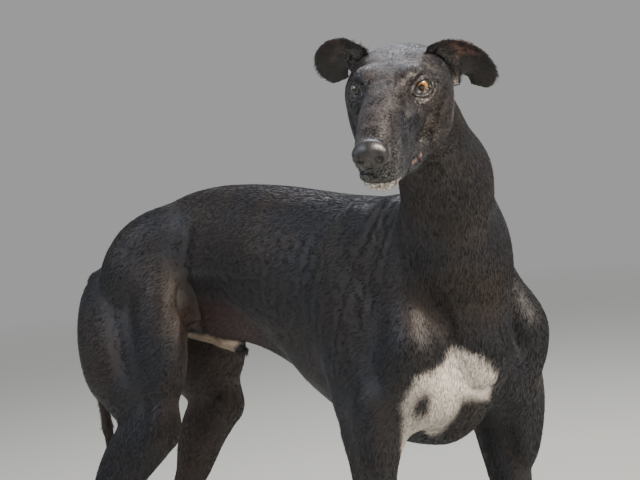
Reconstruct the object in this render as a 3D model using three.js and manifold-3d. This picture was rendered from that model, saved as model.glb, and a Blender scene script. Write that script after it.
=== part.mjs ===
// A life-size standing greyhound: smooth black dog with its body curved a little to its right and its head
// turned further that way. The flesh is one continuous form, grown from named bones and muscles that melt into each
// other, and then parted by thin cuts where a person would name its parts.
// Millimetres, +X towards the chest, +Y to the dog's left, +Z up, floor at z = 0.
import * as THREE from "three";
import { mergeVertices } from "three/addons/utils/BufferGeometryUtils.js";
import Module from "manifold-3d";

const wasm = await Module();
wasm.setup();

// Driving dimensions of the dog.
const WITHERS = 712; // height of the shoulder blades' tops
const ELBOW = 408; // height of the elbow
const CARPUS = 170; // height of the wrist
const HOCK = 212; // height of the hock joint
const STIFLE = 408; // height of the knee
const HIP = 606; // height of the hip joint
const PELVIS_AT = -430; // where the spine stops bending, behind the withers
const SPINE_BEND = THREE.MathUtils.degToRad(21); // how far the pelvis is turned from the chest
const FORE_TRACK = { left: 108, right: 85 }; // from the middle of the chest to each front leg
const HIND_TRACK = { left: 80, right: 88 }; // from the middle of the pelvis to each hind leg
const GAP = 0.3; // air between two parts that meet
const CENTRE = new THREE.Vector3(141, 77, 0); // carries the floor point under the withers to the model's middle

// Head, in its own frame: x along the muzzle from between the eyes, y to the left, z up.
const HEAD_AT = [266, -214, 829];
const HEAD_YAW = THREE.MathUtils.degToRad(-51.5);
const HEAD_PITCH = THREE.MathUtils.degToRad(20.5);
const HEAD_ROLL = THREE.MathUtils.degToRad(-2.5);
const EYE_RADIUS = 11;
const EYE_AT = [-9, 30.5, 0];
const EYE_TURN = THREE.MathUtils.degToRad(26); // how far each eye looks outwards
const NOSE_TIP = 123; // from between the eyes to the front of the nose

// Stance of each leg: its side, and how far forward it stands.
const FORE = {
  left: { s: 1, dx: 34, track: FORE_TRACK.left },
  right: { s: -1, dx: 4, track: FORE_TRACK.right },
};
const HIND = {
  left: { s: 1, track: HIND_TRACK.left, knee: -437, heel: -577 },
  right: { s: -1, track: HIND_TRACK.right, knee: -421, heel: -608 },
};

// Signed-distance pieces. Each piece is { distance(x, y, z), at, reach, blend }: at and reach bound it.
const lerp = (a, b, t) => a + (b - a) * t;
const clamp = (x, lo, hi) => Math.min(Math.max(x, lo), hi);

function smoothMin(a, b, k) {
  const h = Math.max(k - Math.abs(a - b), 0) / k;
  return Math.min(a, b) - h * h * k * 0.25;
}

function frameFrom(a, b, side) {
  const along = new THREE.Vector3(...b).sub(new THREE.Vector3(...a));
  const length = along.length();
  along.normalize();
  const across = new THREE.Vector3(...side);
  across.addScaledVector(along, -across.dot(along)).normalize();
  const third = new THREE.Vector3().crossVectors(along, across);
  return { along, across, third, length };
}

// A limb from a to b: a cone with round ends. flat squeezes it across.
function limb(a, b, ra, rb, { flat = 1, blend = 14, side = [0, 1, 0] } = {}) {
  const { along: e, across: f, third: g, length: h } = frameFrom(a, b, side);
  const slope = (ra - rb) / h;
  const rise = Math.sqrt(1 - slope * slope);
  const squeeze = 1 / flat;
  return {
    at: [lerp(a[0], b[0], 0.5), lerp(a[1], b[1], 0.5), lerp(a[2], b[2], 0.5)],
    reach: h / 2 + Math.max(ra, rb) * Math.max(1, flat),
    blend,
    distance(x, y, z) {
      const dx = x - a[0];
      const dy = y - a[1];
      const dz = z - a[2];
      const along = dx * e.x + dy * e.y + dz * e.z;
      const across = (dx * f.x + dy * f.y + dz * f.z) * squeeze;
      const third = dx * g.x + dy * g.y + dz * g.z;
      const out = Math.hypot(across, third);
      const k = -slope * out + rise * along;
      if (k < 0) return Math.hypot(out, along) - ra;
      if (k > rise * h) return Math.hypot(out, along - h) - rb;
      return out * rise + along * slope - ra;
    },
  };
}

// A muscle lying between two points: an ellipsoid, thick to the side and deep in the third direction.
function muscle(a, b, thick, deep, { reach = 1.1, blend = 16, side = [0, 1, 0] } = {}) {
  const { along: e, across: f, third: g, length } = frameFrom(a, b, side);
  const r1 = (length / 2) * reach;
  const c = [lerp(a[0], b[0], 0.5), lerp(a[1], b[1], 0.5), lerp(a[2], b[2], 0.5)];
  return {
    at: c,
    reach: Math.max(r1, thick, deep),
    blend,
    distance(x, y, z) {
      const dx = x - c[0];
      const dy = y - c[1];
      const dz = z - c[2];
      const p = (dx * e.x + dy * e.y + dz * e.z) / r1;
      const q = (dx * f.x + dy * f.y + dz * f.z) / thick;
      const r = (dx * g.x + dy * g.y + dz * g.z) / deep;
      const near = Math.hypot(p, q, r);
      if (near < 1e-6) return -Math.min(r1, thick, deep);
      return (near * (near - 1)) / Math.hypot(p / r1, q / thick, r / deep);
    },
  };
}

const ball = (at, radii, blend = 12) =>
  muscle([at[0] - radii[0], at[1], at[2]], [at[0] + radii[0], at[1], at[2]], radii[1], radii[2], {
    reach: 1,
    blend,
  });

// Smooth reading of a row of stations [position, values...] at x, by a Catmull-Rom curve.
function readStations(rows, x) {
  const n = rows.length;
  let i = 0;
  while (i < n - 2 && x > rows[i + 1][0]) i++;
  const t = clamp((x - rows[i][0]) / (rows[i + 1][0] - rows[i][0]), 0, 1);
  const p = rows[Math.max(i - 1, 0)];
  const q = rows[i];
  const r = rows[i + 1];
  const s = rows[Math.min(i + 2, n - 1)];
  const width = r[0] - q[0];
  return q.map((value, k) => {
    if (k === 0) return x;
    const slopeQ = ((r[k] - p[k]) / (r[0] - p[0])) * width;
    const slopeR = ((s[k] - q[k]) / (s[0] - q[0])) * width;
    const t2 = t * t;
    const t3 = t2 * t;
    return (
      (2 * t3 - 3 * t2 + 1) * value + (t3 - 2 * t2 + t) * slopeQ + (3 * t2 - 2 * t3) * r[k] + (t3 - t2) * slopeR
    );
  });
}

// A hull along x. Rows hold [x, top, bottom, half width, height of the widest line, fullness above, fullness below].
function hull(rows, blend, cap) {
  const first = rows[0][0];
  const last = rows[rows.length - 1][0];
  const STEP = 2;
  const table = [];
  for (let x = first; x <= last + STEP; x += STEP) table.push(readStations(rows, Math.min(x, last)));
  const zs = rows.flatMap((r) => [r[1], r[2]]);
  const middle = (Math.min(...zs) + Math.max(...zs)) / 2;
  return {
    at: [(first + last) / 2, 0, middle],
    reach: Math.hypot((last - first) / 2 + cap, Math.max(...zs) - middle, Math.max(...rows.map((r) => r[3]))),
    blend,
    distance(x, y, z) {
      const inX = clamp(x, first, last);
      const place = (inX - first) / STEP;
      const i = Math.min(Math.floor(place), table.length - 2);
      const t = place - i;
      const low = table[i];
      const high = table[i + 1];
      const top = lerp(low[1], high[1], t);
      const bottom = lerp(low[2], high[2], t);
      const half = lerp(low[3], high[3], t);
      const wide = lerp(low[4], high[4], t);
      const up = z > wide;
      const tall = up ? top - wide : wide - bottom;
      const power = up ? lerp(low[5], high[5], t) : lerp(low[6], high[6], t);
      const q = Math.abs(y) / half;
      const r = Math.abs(z - wide) / tall;
      const over = (x - inX) / cap;
      const rim = Math.pow(Math.pow(q, power) + Math.pow(r, power) + Math.pow(Math.abs(over), power), 1 / power);
      const out = Math.hypot(y, z - wide, x - inX);
      if (out < 1e-6) return -Math.min(half, tall);
      return out - out / Math.max(rim, 1e-6);
    },
  };
}

// Several pieces melted together. Carved pieces are taken away with the same softness.
function melt(pieces, carved = []) {
  return (x, y, z) => {
    let d = 1e3;
    for (const p of pieces) {
      const least = Math.hypot(x - p.at[0], y - p.at[1], z - p.at[2]) - p.reach;
      if (least > d + p.blend || least > 60) {
        if (least < d) d = Math.min(d, least);
        continue;
      }
      d = smoothMin(d, p.distance(x, y, z), p.blend);
    }
    for (const c of carved) {
      const least = Math.hypot(x - c.at[0], y - c.at[1], z - c.at[2]) - c.reach;
      if (least > c.blend - d) continue;
      d = -smoothMin(-d, c.distance(x, y, z), c.blend);
    }
    return d;
  };
}

// Trunk: ribcage, loin and rump as one hull along the spine.
const trunk = hull(
  [
    // x, top, bottom, half width, widest line, fullness above, fullness below
    [-576, 610, 576, 28, 594, 2, 2],
    [-553, 630, 560, 44, 600, 2, 2],
    [-512, 659, 546, 58, 608, 2, 2],
    [-465, 690, 536, 65, 616, 2.1, 2],
    [-410, 718, 524, 64, 628, 2.2, 2],
    [-350, 729, 514, 63, 632, 2.3, 2],
    [-290, 729, 503, 72, 627, 2.2, 1.9],
    [-230, 724, 479, 84, 616, 2.1, 1.8],
    [-170, 716, 440, 92, 597, 2, 1.75],
    [-110, 708, 409, 95, 580, 2.1, 1.75],
    [-50, 704, 395, 94, 570, 2.1, 1.75],
    [10, 700, 393, 86, 560, 2.1, 1.8],
    [60, 676, 404, 74, 548, 2.1, 1.9],
    [100, 640, 436, 58, 537, 2, 2],
    [122, 606, 474, 42, 535, 2, 2],
  ],
  20,
  22,
);

// Shoulder, upper arm and forearm of one front leg. dx carries the foot forwards.
function foreleg({ s, dx, track }) {
  const y = s * track;
  const arm = track - 90; // moves the shoulder and upper arm out with the leg
  const side = [0, s, 0];
  const elbow = [-8 + dx * 0.5, y, ELBOW];
  const carpus = [4 + dx, y - s * 1, CARPUS];
  const knuckle = [20 + dx, y + s * 1, 54];
  return [
    muscle([12, s * 30, WITHERS - 18], [88, s * (80 + arm), 545], 30, 34, { side, blend: 26 }),
    muscle([-40, s * 44, WITHERS - 28], [60, s * (89 + arm), 515], 27, 38, { side, blend: 26 }),
    muscle([-58, s * 62, 640], [-34 + dx * 0.5, s * (90 + arm), 425], 28, 42, { side, blend: 20, reach: 1.15 }),
    muscle([-20, s * 76, 600], [24 + dx * 0.4, s * (95 + arm), 415], 29, 48, { side, blend: 22 }),
    muscle([96, s * (80 + arm), 530], [4 + dx * 0.5, s * (90 + arm), 410], 30, 36, { side, blend: 26 }),
    ball([86, s * (78 + arm), 528], [30, 27, 42], 28),
    muscle([104, s * 20, 505], [58, s * (70 + arm), 446], 29, 36, { side, blend: 30 }),
    muscle([32 + dx * 0.6, y + s * 22, 482], [20 + dx * 0.9, y + s * 5, 345], 23, 24, { side, blend: 24, reach: 1.05 }),
    limb(elbow, [0 + dx * 0.9, y, 300], 31, 24, { flat: 0.86, blend: 16 }),
    limb([0 + dx * 0.9, y, 300], carpus, 24, 15.5, { flat: 0.86, blend: 12 }),
    muscle([6 + dx * 0.6, y + s * 7, 402], [10 + dx * 0.9, y + s * 3, 262], 17, 21, { side, blend: 10 }),
    limb([-38 + dx * 0.5, y, ELBOW + 12], [-20 + dx * 0.8, y, 330], 14, 12, { blend: 14 }),
    ball([carpus[0] + 1, carpus[1], CARPUS + 2], [17.5, 17.5, 22], 10),
    limb([carpus[0] - 15, carpus[1], CARPUS - 8], [carpus[0] - 12, carpus[1], CARPUS - 22], 7, 6, { blend: 8 }),
    limb([carpus[0] + 1, carpus[1], CARPUS - 8], knuckle, 14.5, 14.5, { flat: 1.12, blend: 10 }),
  ];
}

// Haunch, thigh, second thigh and hock of one hind leg. knee and heel say how far back the stifle and the hock are.
function hindleg({ s, track, knee, heel }) {
  const y = s * track;
  const side = [0, s, 0];
  const back = (knee - HIND.right.knee) * 0.6;
  const stifle = [knee, y, STIFLE];
  const hock = [heel, y - s * 2, HOCK];
  const knuckle = [heel + 8, y + s * 1, 54];
  return [
    muscle([-404, s * 38, 690], [-505, s * 64, 618], 32, 40, { side, blend: 24 }),
    muscle([-428, s * 52, 645], [knee + 4, y - s * 4, STIFLE + 30], 36, 46, { side, blend: 22, reach: 1.12 }),
    muscle([-525, s * 50, 615], [-487 + back, y - s * 2, STIFLE + 14], 38, 54, { side, blend: 22, reach: 1.12 }),
    muscle([-556, s * 44, 598], [-536 + back, y - s * 10, STIFLE + 44], 31, 30, { side, blend: 22, reach: 1.15 }),
    muscle([-480, s * 44, 590], [-460 + back, y - s * 14, STIFLE + 20], 34, 60, { side, blend: 22 }),
    ball([-478, s * 68, HIP + 4], [34, 20, 34], 24),
    ball([knee + 2, y - s * 2, STIFLE + 6], [24, 25, 33], 18),
    muscle([knee - 34, y, STIFLE + 14], [heel + 52, y - s * 1, 275], 25, 34, { side, blend: 18, reach: 1.15 }),
    limb([knee - 6, y, STIFLE - 12], [heel + 12, y - s * 1, HOCK + 22], 28, 14, { flat: 0.86, blend: 14 }),
    limb([heel + 60, y, 300], [heel - 24, hock[1], HOCK + 18], 14, 7.5, { blend: 12 }),
    limb([heel - 26, hock[1], HOCK + 16], [heel - 6, hock[1], HOCK - 30], 11, 12, { blend: 10 }),
    ball([heel + 2, hock[1], HOCK], [19, 17, 22], 10),
    limb([heel, hock[1], HOCK - 12], knuckle, 15, 13.5, { flat: 1.02, blend: 10 }),
  ];
}

// One paw: four arched toes in front of a broad pad, on a flat sole. at is the knuckle above the pad.
function paw(at, s, size) {
  const [x, y] = at;
  const pieces = [
    limb([x, y, 52], [x + 14, y, 34], 15 * size, 15 * size, { flat: 1.2, blend: 10 }),
    ball([x + 14 * size, y, 12.2], [17 * size, 17 * size, 14], 8),
  ];
  const TOES = [
    [-1.5, 38, 26, 0.92],
    [-0.52, 52, 31, 1],
    [0.52, 52, 31, 1],
    [1.5, 38, 26, 0.92],
  ];
  for (const [place, length, arch, thick] of TOES) {
    const spread = place * 12.6 * size;
    const root = [x + 12, y + spread * 0.72, 34];
    const crown = [x + length * 0.66 * size, y + spread, arch * 0.86];
    const tip = [x + length * 1.08 * size, y + spread * 1.04, 12];
    pieces.push(
      limb(root, crown, 10 * size * thick, 9.4 * size * thick, { blend: 4 }),
      limb(crown, tip, 9.4 * size * thick, 8 * size * thick, { blend: 3 }),
      ball([tip[0] - 5, tip[1], 7.5], [10 * size, 7.6 * size, 9], 4),
    );
  }
  return pieces;
}

// Claws of one paw, as horn cones that grow out of the toe tips.
function claws(at, size) {
  const [x, y] = at;
  const made = [];
  for (const [place, length] of [
    [-1.5, 38],
    [-0.52, 52],
    [0.52, 52],
    [1.5, 38],
  ]) {
    const side = y + place * 13.1 * size;
    const tip = x + length * 1.08 * size;
    made.push(
      limb([tip + 1, side, 13.5], [tip + 11.5, side, 10.5], 3.6, 2.6, { flat: 0.8, blend: 3 }),
      limb([tip + 11.5, side, 10.5], [tip + 18, side, 5], 2.6, 1.1, { flat: 0.8, blend: 2 }),
    );
  }
  return made;
}

const forePawAt = ({ s, dx, track }) => [22 + dx, s * (track + 1), 0];
const hindPawAt = ({ s, track, heel }) => [heel + 10, s * (track + 1), 0];

const sheath = [
  limb([-430, 0, 530], [-366, 0, 514], 15, 13, { blend: 16 }),
  limb([-366, 0, 514], [-334, 0, 497], 12, 9, { blend: 10 }),
];

// Tail: hangs close behind the thighs and ends at the hocks.
const tailPieces = [
  limb([-552, 0, 616], [-588, 0, 600], 20, 17, { blend: 16 }),
  limb([-588, 0, 600], [-606, 0, 556], 17, 14, { blend: 6 }),
  limb([-606, 0, 556], [-611, 0, 470], 14, 11, { blend: 6 }),
  limb([-611, 0, 470], [-606, 0, 380], 11, 8.5, { blend: 6 }),
  limb([-606, 0, 380], [-600, 0, 300], 8.5, 6, { blend: 6 }),
  limb([-600, 0, 300], [-606, 0, 236], 6, 3.6, { blend: 6 }),
];
const tailField = melt(tailPieces);

const frontBody = melt([...foreleg(FORE.left), ...foreleg(FORE.right), trunk]);
const rearBody = melt([
  trunk,
  ...hindleg(HIND.left),
  ...hindleg(HIND.right),
  ...sheath,
  tailPieces[0],
]);
const pawsField = melt([
  ...paw(forePawAt(FORE.left), 1, 1),
  ...paw(forePawAt(FORE.right), -1, 1),
]);
const hindPawsField = melt([
  ...paw(hindPawAt(HIND.left), 1, 0.96),
  ...paw(hindPawAt(HIND.right), -1, 0.96),
]);
const clawsField = melt([...claws(forePawAt(FORE.left), 1), ...claws(forePawAt(FORE.right), 1)]);
const hindClawsField = melt([...claws(hindPawAt(HIND.left), 0.96), ...claws(hindPawAt(HIND.right), 0.96)]);

// The straight body as one field.
function straightBody(x, y, z) {
  let d = x > -260 ? frontBody(x, y, z) : rearBody(x, y, z);
  if (x > -300 && x < -220) d = lerp(rearBody(x, y, z), frontBody(x, y, z), (x + 300) / 80);
  if (z < 90) {
    const front = x > -260;
    const feet = front ? pawsField(x, y, z) : hindPawsField(x, y, z);
    const nails = front ? clawsField(x, y, z) : hindClawsField(x, y, z);
    d = smoothMin(smoothMin(d, feet, 8), nails, 1.2);
  }
  return d;
}

// The spine bends to the right in an arc from the withers to the pelvis, and the pelvis carries the hind legs rigidly.
const BEND_RADIUS = -PELVIS_AT / SPINE_BEND;
const COS_BEND = Math.cos(SPINE_BEND);
const SIN_BEND = Math.sin(SPINE_BEND);
const PELVIS_POINT = [-BEND_RADIUS * SIN_BEND, -BEND_RADIUS * (1 - COS_BEND)];

function unbend(x, y) {
  if (x >= 0) return [x, y];
  const turn = Math.atan2(-x, y + BEND_RADIUS);
  if (turn < SPINE_BEND) return [-turn * BEND_RADIUS, Math.hypot(x, y + BEND_RADIUS) - BEND_RADIUS];
  const dx = x - PELVIS_POINT[0];
  const dy = y - PELVIS_POINT[1];
  return [PELVIS_AT + dx * COS_BEND + dy * SIN_BEND, -dx * SIN_BEND + dy * COS_BEND];
}

// Carries a piece that is placed in the straight body's frame to where the pelvis has turned.
const pelvisFrame = new THREE.Matrix4()
  .makeTranslation(PELVIS_POINT[0], PELVIS_POINT[1], 0)
  .multiply(new THREE.Matrix4().makeRotationZ(SPINE_BEND))
  .multiply(new THREE.Matrix4().makeTranslation(-PELVIS_AT, 0, 0));

// Head: a long narrow hull with cheeks, brows, jaw and lips. All in the head's frame.
const headHull = hull(
  [
    [-112, 4, -38, 30, -14, 2, 2],
    [-92, 14, -56, 42, -16, 2.1, 2.2],
    [-66, 20, -66, 49, -18, 2.3, 2.4],
    [-38, 22, -66, 50, -20, 2.4, 2.5],
    [-12, 21, -60, 42, -19, 2.4, 2.5],
    [10, 18, -53, 32.5, -17, 2.4, 2.5],
    [34, 13, -48, 26, -18, 2.4, 2.5],
    [62, 6, -46, 22.5, -21, 2.4, 2.6],
    [90, -2, -44, 20, -24, 2.3, 2.6],
    [106, -8, -42, 16.5, -25, 2.3, 2.5],
  ],
  10,
  9,
);

function headSide(s) {
  const side = [0, s, 0];
  return [
    muscle([-64, s * 38, -10], [0, s * 36, -14], 14, 14, { side, blend: 14 }),
    muscle([-72, s * 38, -30], [-4, s * 33, -48], 17, 26, { side, blend: 20 }),
    muscle([-92, s * 22, -6], [-34, s * 24, 5], 20, 17, { side, blend: 16 }),
    muscle([-20, s * 27, 12], [10, s * 21, 13], 10, 9, { side, blend: 12 }),
    ball([EYE_AT[0], s * EYE_AT[1], EYE_AT[2]], [12.9, 12.9, 12.9], 7),
    muscle([-4, s * 30, -16], [44, s * 21, -24], 9, 14, { side, blend: 14 }),
    muscle([22, s * 20, -31], [94, s * 15, -33], 9, 12, { side, blend: 10 }),
    ball([109, s * 8, -24], [10, 8.5, 9.5], 6),
    limb([-48, s * 31, -56], [30, s * 17, -58], 16, 12, { blend: 14 }),
    limb([30, s * 17, -57], [84, s * 8, -55], 12, 10, { blend: 10 }),
  ];
}
const headMiddle = [
  ball([-58, 0, -50], [46, 30, 24], 20),
  ball([86, 0, -57], [13, 14, 10], 10),
  ball([111, 0, -19], [11, 11, 9.5], 6),
];
const headPieces = melt(
  [headHull, ...headSide(1), ...headSide(-1), ...headMiddle],
  [
    muscle([-6, 0, 34], [26, 0, 27], 9, 6, { blend: 12 }),
    muscle([10, 33, 0], [32, 29, -4], 5, 7, { blend: 12 }),
    muscle([10, -33, 0], [32, -29, -4], 5, 7, { blend: 12 }),
  ],
);

const headFrame = new THREE.Matrix4().compose(
  new THREE.Vector3(...HEAD_AT),
  new THREE.Quaternion().setFromEuler(new THREE.Euler(HEAD_ROLL, HEAD_PITCH, HEAD_YAW, "ZYX")),
  new THREE.Vector3(1, 1, 1),
);
const intoHead = headFrame.clone().invert().elements;

function headField(x, y, z) {
  const m = intoHead;
  return headPieces(
    m[0] * x + m[4] * y + m[8] * z + m[12],
    m[1] * x + m[5] * y + m[9] * z + m[13],
    m[2] * x + m[6] * y + m[10] * z + m[14],
  );
}

// Neck: limbs along a rising curve that turns to the right, from the chest to the back of the skull.
const nape = (point) => new THREE.Vector3(...point).applyMatrix4(headFrame).toArray();
const NECK_SIDE = new THREE.Vector3(0, 1, 0).applyAxisAngle(new THREE.Vector3(0, 0, 1), HEAD_YAW * 0.5).toArray();
const neckPieces = melt([
  limb([14, 4, 606], [92, -10, 636], 88, 76, { flat: 0.86, blend: 28, side: [0, 1, 0] }),
  limb([92, -10, 636], [150, -56, 728], 71, 56, { flat: 0.88, blend: 28, side: NECK_SIDE }),
  limb([150, -56, 728], nape([-96, 0, -27]), 54, 39, { flat: 0.9, blend: 20, side: NECK_SIDE }),
  limb([120, 0, 600], [132, 0, 530], 40, 24, { flat: 0.9, blend: 26 }),
]);

// The whole flesh as one field.
function flesh(x, y, z) {
  let d = straightBody(...unbend(x, y), z);
  if (x > -120 && z > 440) {
    d = smoothMin(d, neckPieces(x, y, z), 30);
    d = smoothMin(d, headField(x, y, z), 14);
  }
  return d;
}

// Marching tetrahedra over a box of cells: it always gives one closed surface.
const CORNERS = [
  [0, 1, 3],
  [0, 1, 5],
  [0, 2, 3],
  [0, 2, 6],
  [0, 4, 5],
  [0, 4, 6],
].map(([a, b, c]) => [a, b, c, 7]);

function polygonise(field, low, high, cell, frame = new THREE.Matrix4()) {
  const n = [0, 1, 2].map((k) => Math.ceil((high[k] - low[k]) / cell) + 1);
  const stride = [1, n[0], n[0] * n[1]];
  const values = new Float32Array(n[0] * n[1] * n[2]).fill(NaN);
  const m = frame.elements;
  const at = (px, py, pz) =>
    field(
      m[0] * px + m[4] * py + m[8] * pz + m[12],
      m[1] * px + m[5] * py + m[9] * pz + m[13],
      m[2] * px + m[6] * py + m[10] * pz + m[14],
    );
  const BLOCK = 4;
  const far = BLOCK * cell * 0.87 * 1.5 + cell;
  for (let k = 0; k < n[2]; k += BLOCK)
    for (let j = 0; j < n[1]; j += BLOCK)
      for (let i = 0; i < n[0]; i += BLOCK) {
        const mid = at(low[0] + (i + 1.5) * cell, low[1] + (j + 1.5) * cell, low[2] + (k + 1.5) * cell);
        for (let c = k; c < Math.min(k + BLOCK, n[2]); c++)
          for (let b = j; b < Math.min(j + BLOCK, n[1]); b++)
            for (let a = i; a < Math.min(i + BLOCK, n[0]); a++) {
              const edge = !a || !b || !c || a === n[0] - 1 || b === n[1] - 1 || c === n[2] - 1;
              let v = Math.abs(mid) > far ? mid : at(low[0] + a * cell, low[1] + b * cell, low[2] + c * cell);
              if (edge) v = Math.max(v, cell * 0.5);
              values[a + b * stride[1] + c * stride[2]] = v || 1e-4;
            }
      }
  const positions = [];
  const triangles = [];
  const known = new Map();
  const offset = [0, 1, 2, 3, 4, 5, 6, 7].map((c) => (c & 1) + ((c >> 1) & 1) * stride[1] + (c >> 2) * stride[2]);
  const place = (index) => {
    const c = Math.floor(index / stride[2]);
    const b = Math.floor((index - c * stride[2]) / stride[1]);
    return [low[0] + (index % stride[1]) * cell, low[1] + b * cell, low[2] + c * cell];
  };
  const crossing = (p, q) => {
    const key = p < q ? p * 1e8 + q : q * 1e8 + p;
    let found = known.get(key);
    if (found === undefined) {
      const t = clamp(values[p] / (values[p] - values[q]), 0.08, 0.92);
      const a = place(p);
      const b = place(q);
      found = positions.length / 3;
      positions.push(lerp(a[0], b[0], t), lerp(a[1], b[1], t), lerp(a[2], b[2], t));
      known.set(key, found);
    }
    return found;
  };
  const outward = (a, b, c, from, to) => {
    const P = (i) => [positions[3 * i], positions[3 * i + 1], positions[3 * i + 2]];
    const [A, B, C] = [P(a), P(b), P(c)];
    const u = [B[0] - A[0], B[1] - A[1], B[2] - A[2]];
    const v = [C[0] - A[0], C[1] - A[1], C[2] - A[2]];
    const F = place(from);
    const T = place(to);
    const dot =
      (u[1] * v[2] - u[2] * v[1]) * (T[0] - F[0]) +
      (u[2] * v[0] - u[0] * v[2]) * (T[1] - F[1]) +
      (u[0] * v[1] - u[1] * v[0]) * (T[2] - F[2]);
    if (dot >= 0) triangles.push(a, b, c);
    else triangles.push(a, c, b);
  };
  for (let k = 0; k < n[2] - 1; k++)
    for (let j = 0; j < n[1] - 1; j++)
      for (let i = 0; i < n[0] - 1; i++) {
        const base = i + j * stride[1] + k * stride[2];
        let inside = 0;
        for (let c = 0; c < 8; c++) if (values[base + offset[c]] < 0) inside++;
        if (inside === 0 || inside === 8) continue;
        for (const tet of CORNERS) {
          const v = tet.map((c) => base + offset[c]);
          const ins = v.filter((p) => values[p] < 0);
          const outs = v.filter((p) => values[p] >= 0);
          if (!ins.length || !outs.length) continue;
          if (ins.length === 2) {
            const [a, b] = ins;
            const [c, d] = outs;
            const q = [crossing(a, c), crossing(a, d), crossing(b, d), crossing(b, c)];
            outward(q[0], q[1], q[2], a, c);
            outward(q[0], q[2], q[3], a, c);
          } else {
            const lone = ins.length === 1 ? ins[0] : outs[0];
            const rest = ins.length === 1 ? outs : ins;
            const [a, b, c] = rest.map((p) => crossing(lone, p));
            if (ins.length === 1) outward(a, b, c, lone, rest[0]);
            else outward(a, b, c, rest[0], lone);
          }
        }
      }
  // Pull each vertex onto the true surface.
  const E = cell * 0.1;
  for (let i = 0; i < positions.length; i += 3)
    for (let turn = 0; turn < 2; turn++) {
      const [x, y, z] = [positions[i], positions[i + 1], positions[i + 2]];
      const v = at(x, y, z);
      const g = [at(x + E, y, z) - v, at(x, y + E, z) - v, at(x, y, z + E) - v].map((d) => d / E);
      const size = g[0] * g[0] + g[1] * g[1] + g[2] * g[2];
      if (size < 0.04) break;
      const step = clamp(v / size, -0.35 * cell, 0.35 * cell);
      for (let c = 0; c < 3; c++) {
        const edge = positions[i + c] < low[c] + 1.5 * cell || positions[i + c] > low[c] + (n[c] - 2.5) * cell;
        if (!edge) positions[i + c] -= g[c] * step;
      }
    }
  return { positions, triangles };
}

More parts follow.
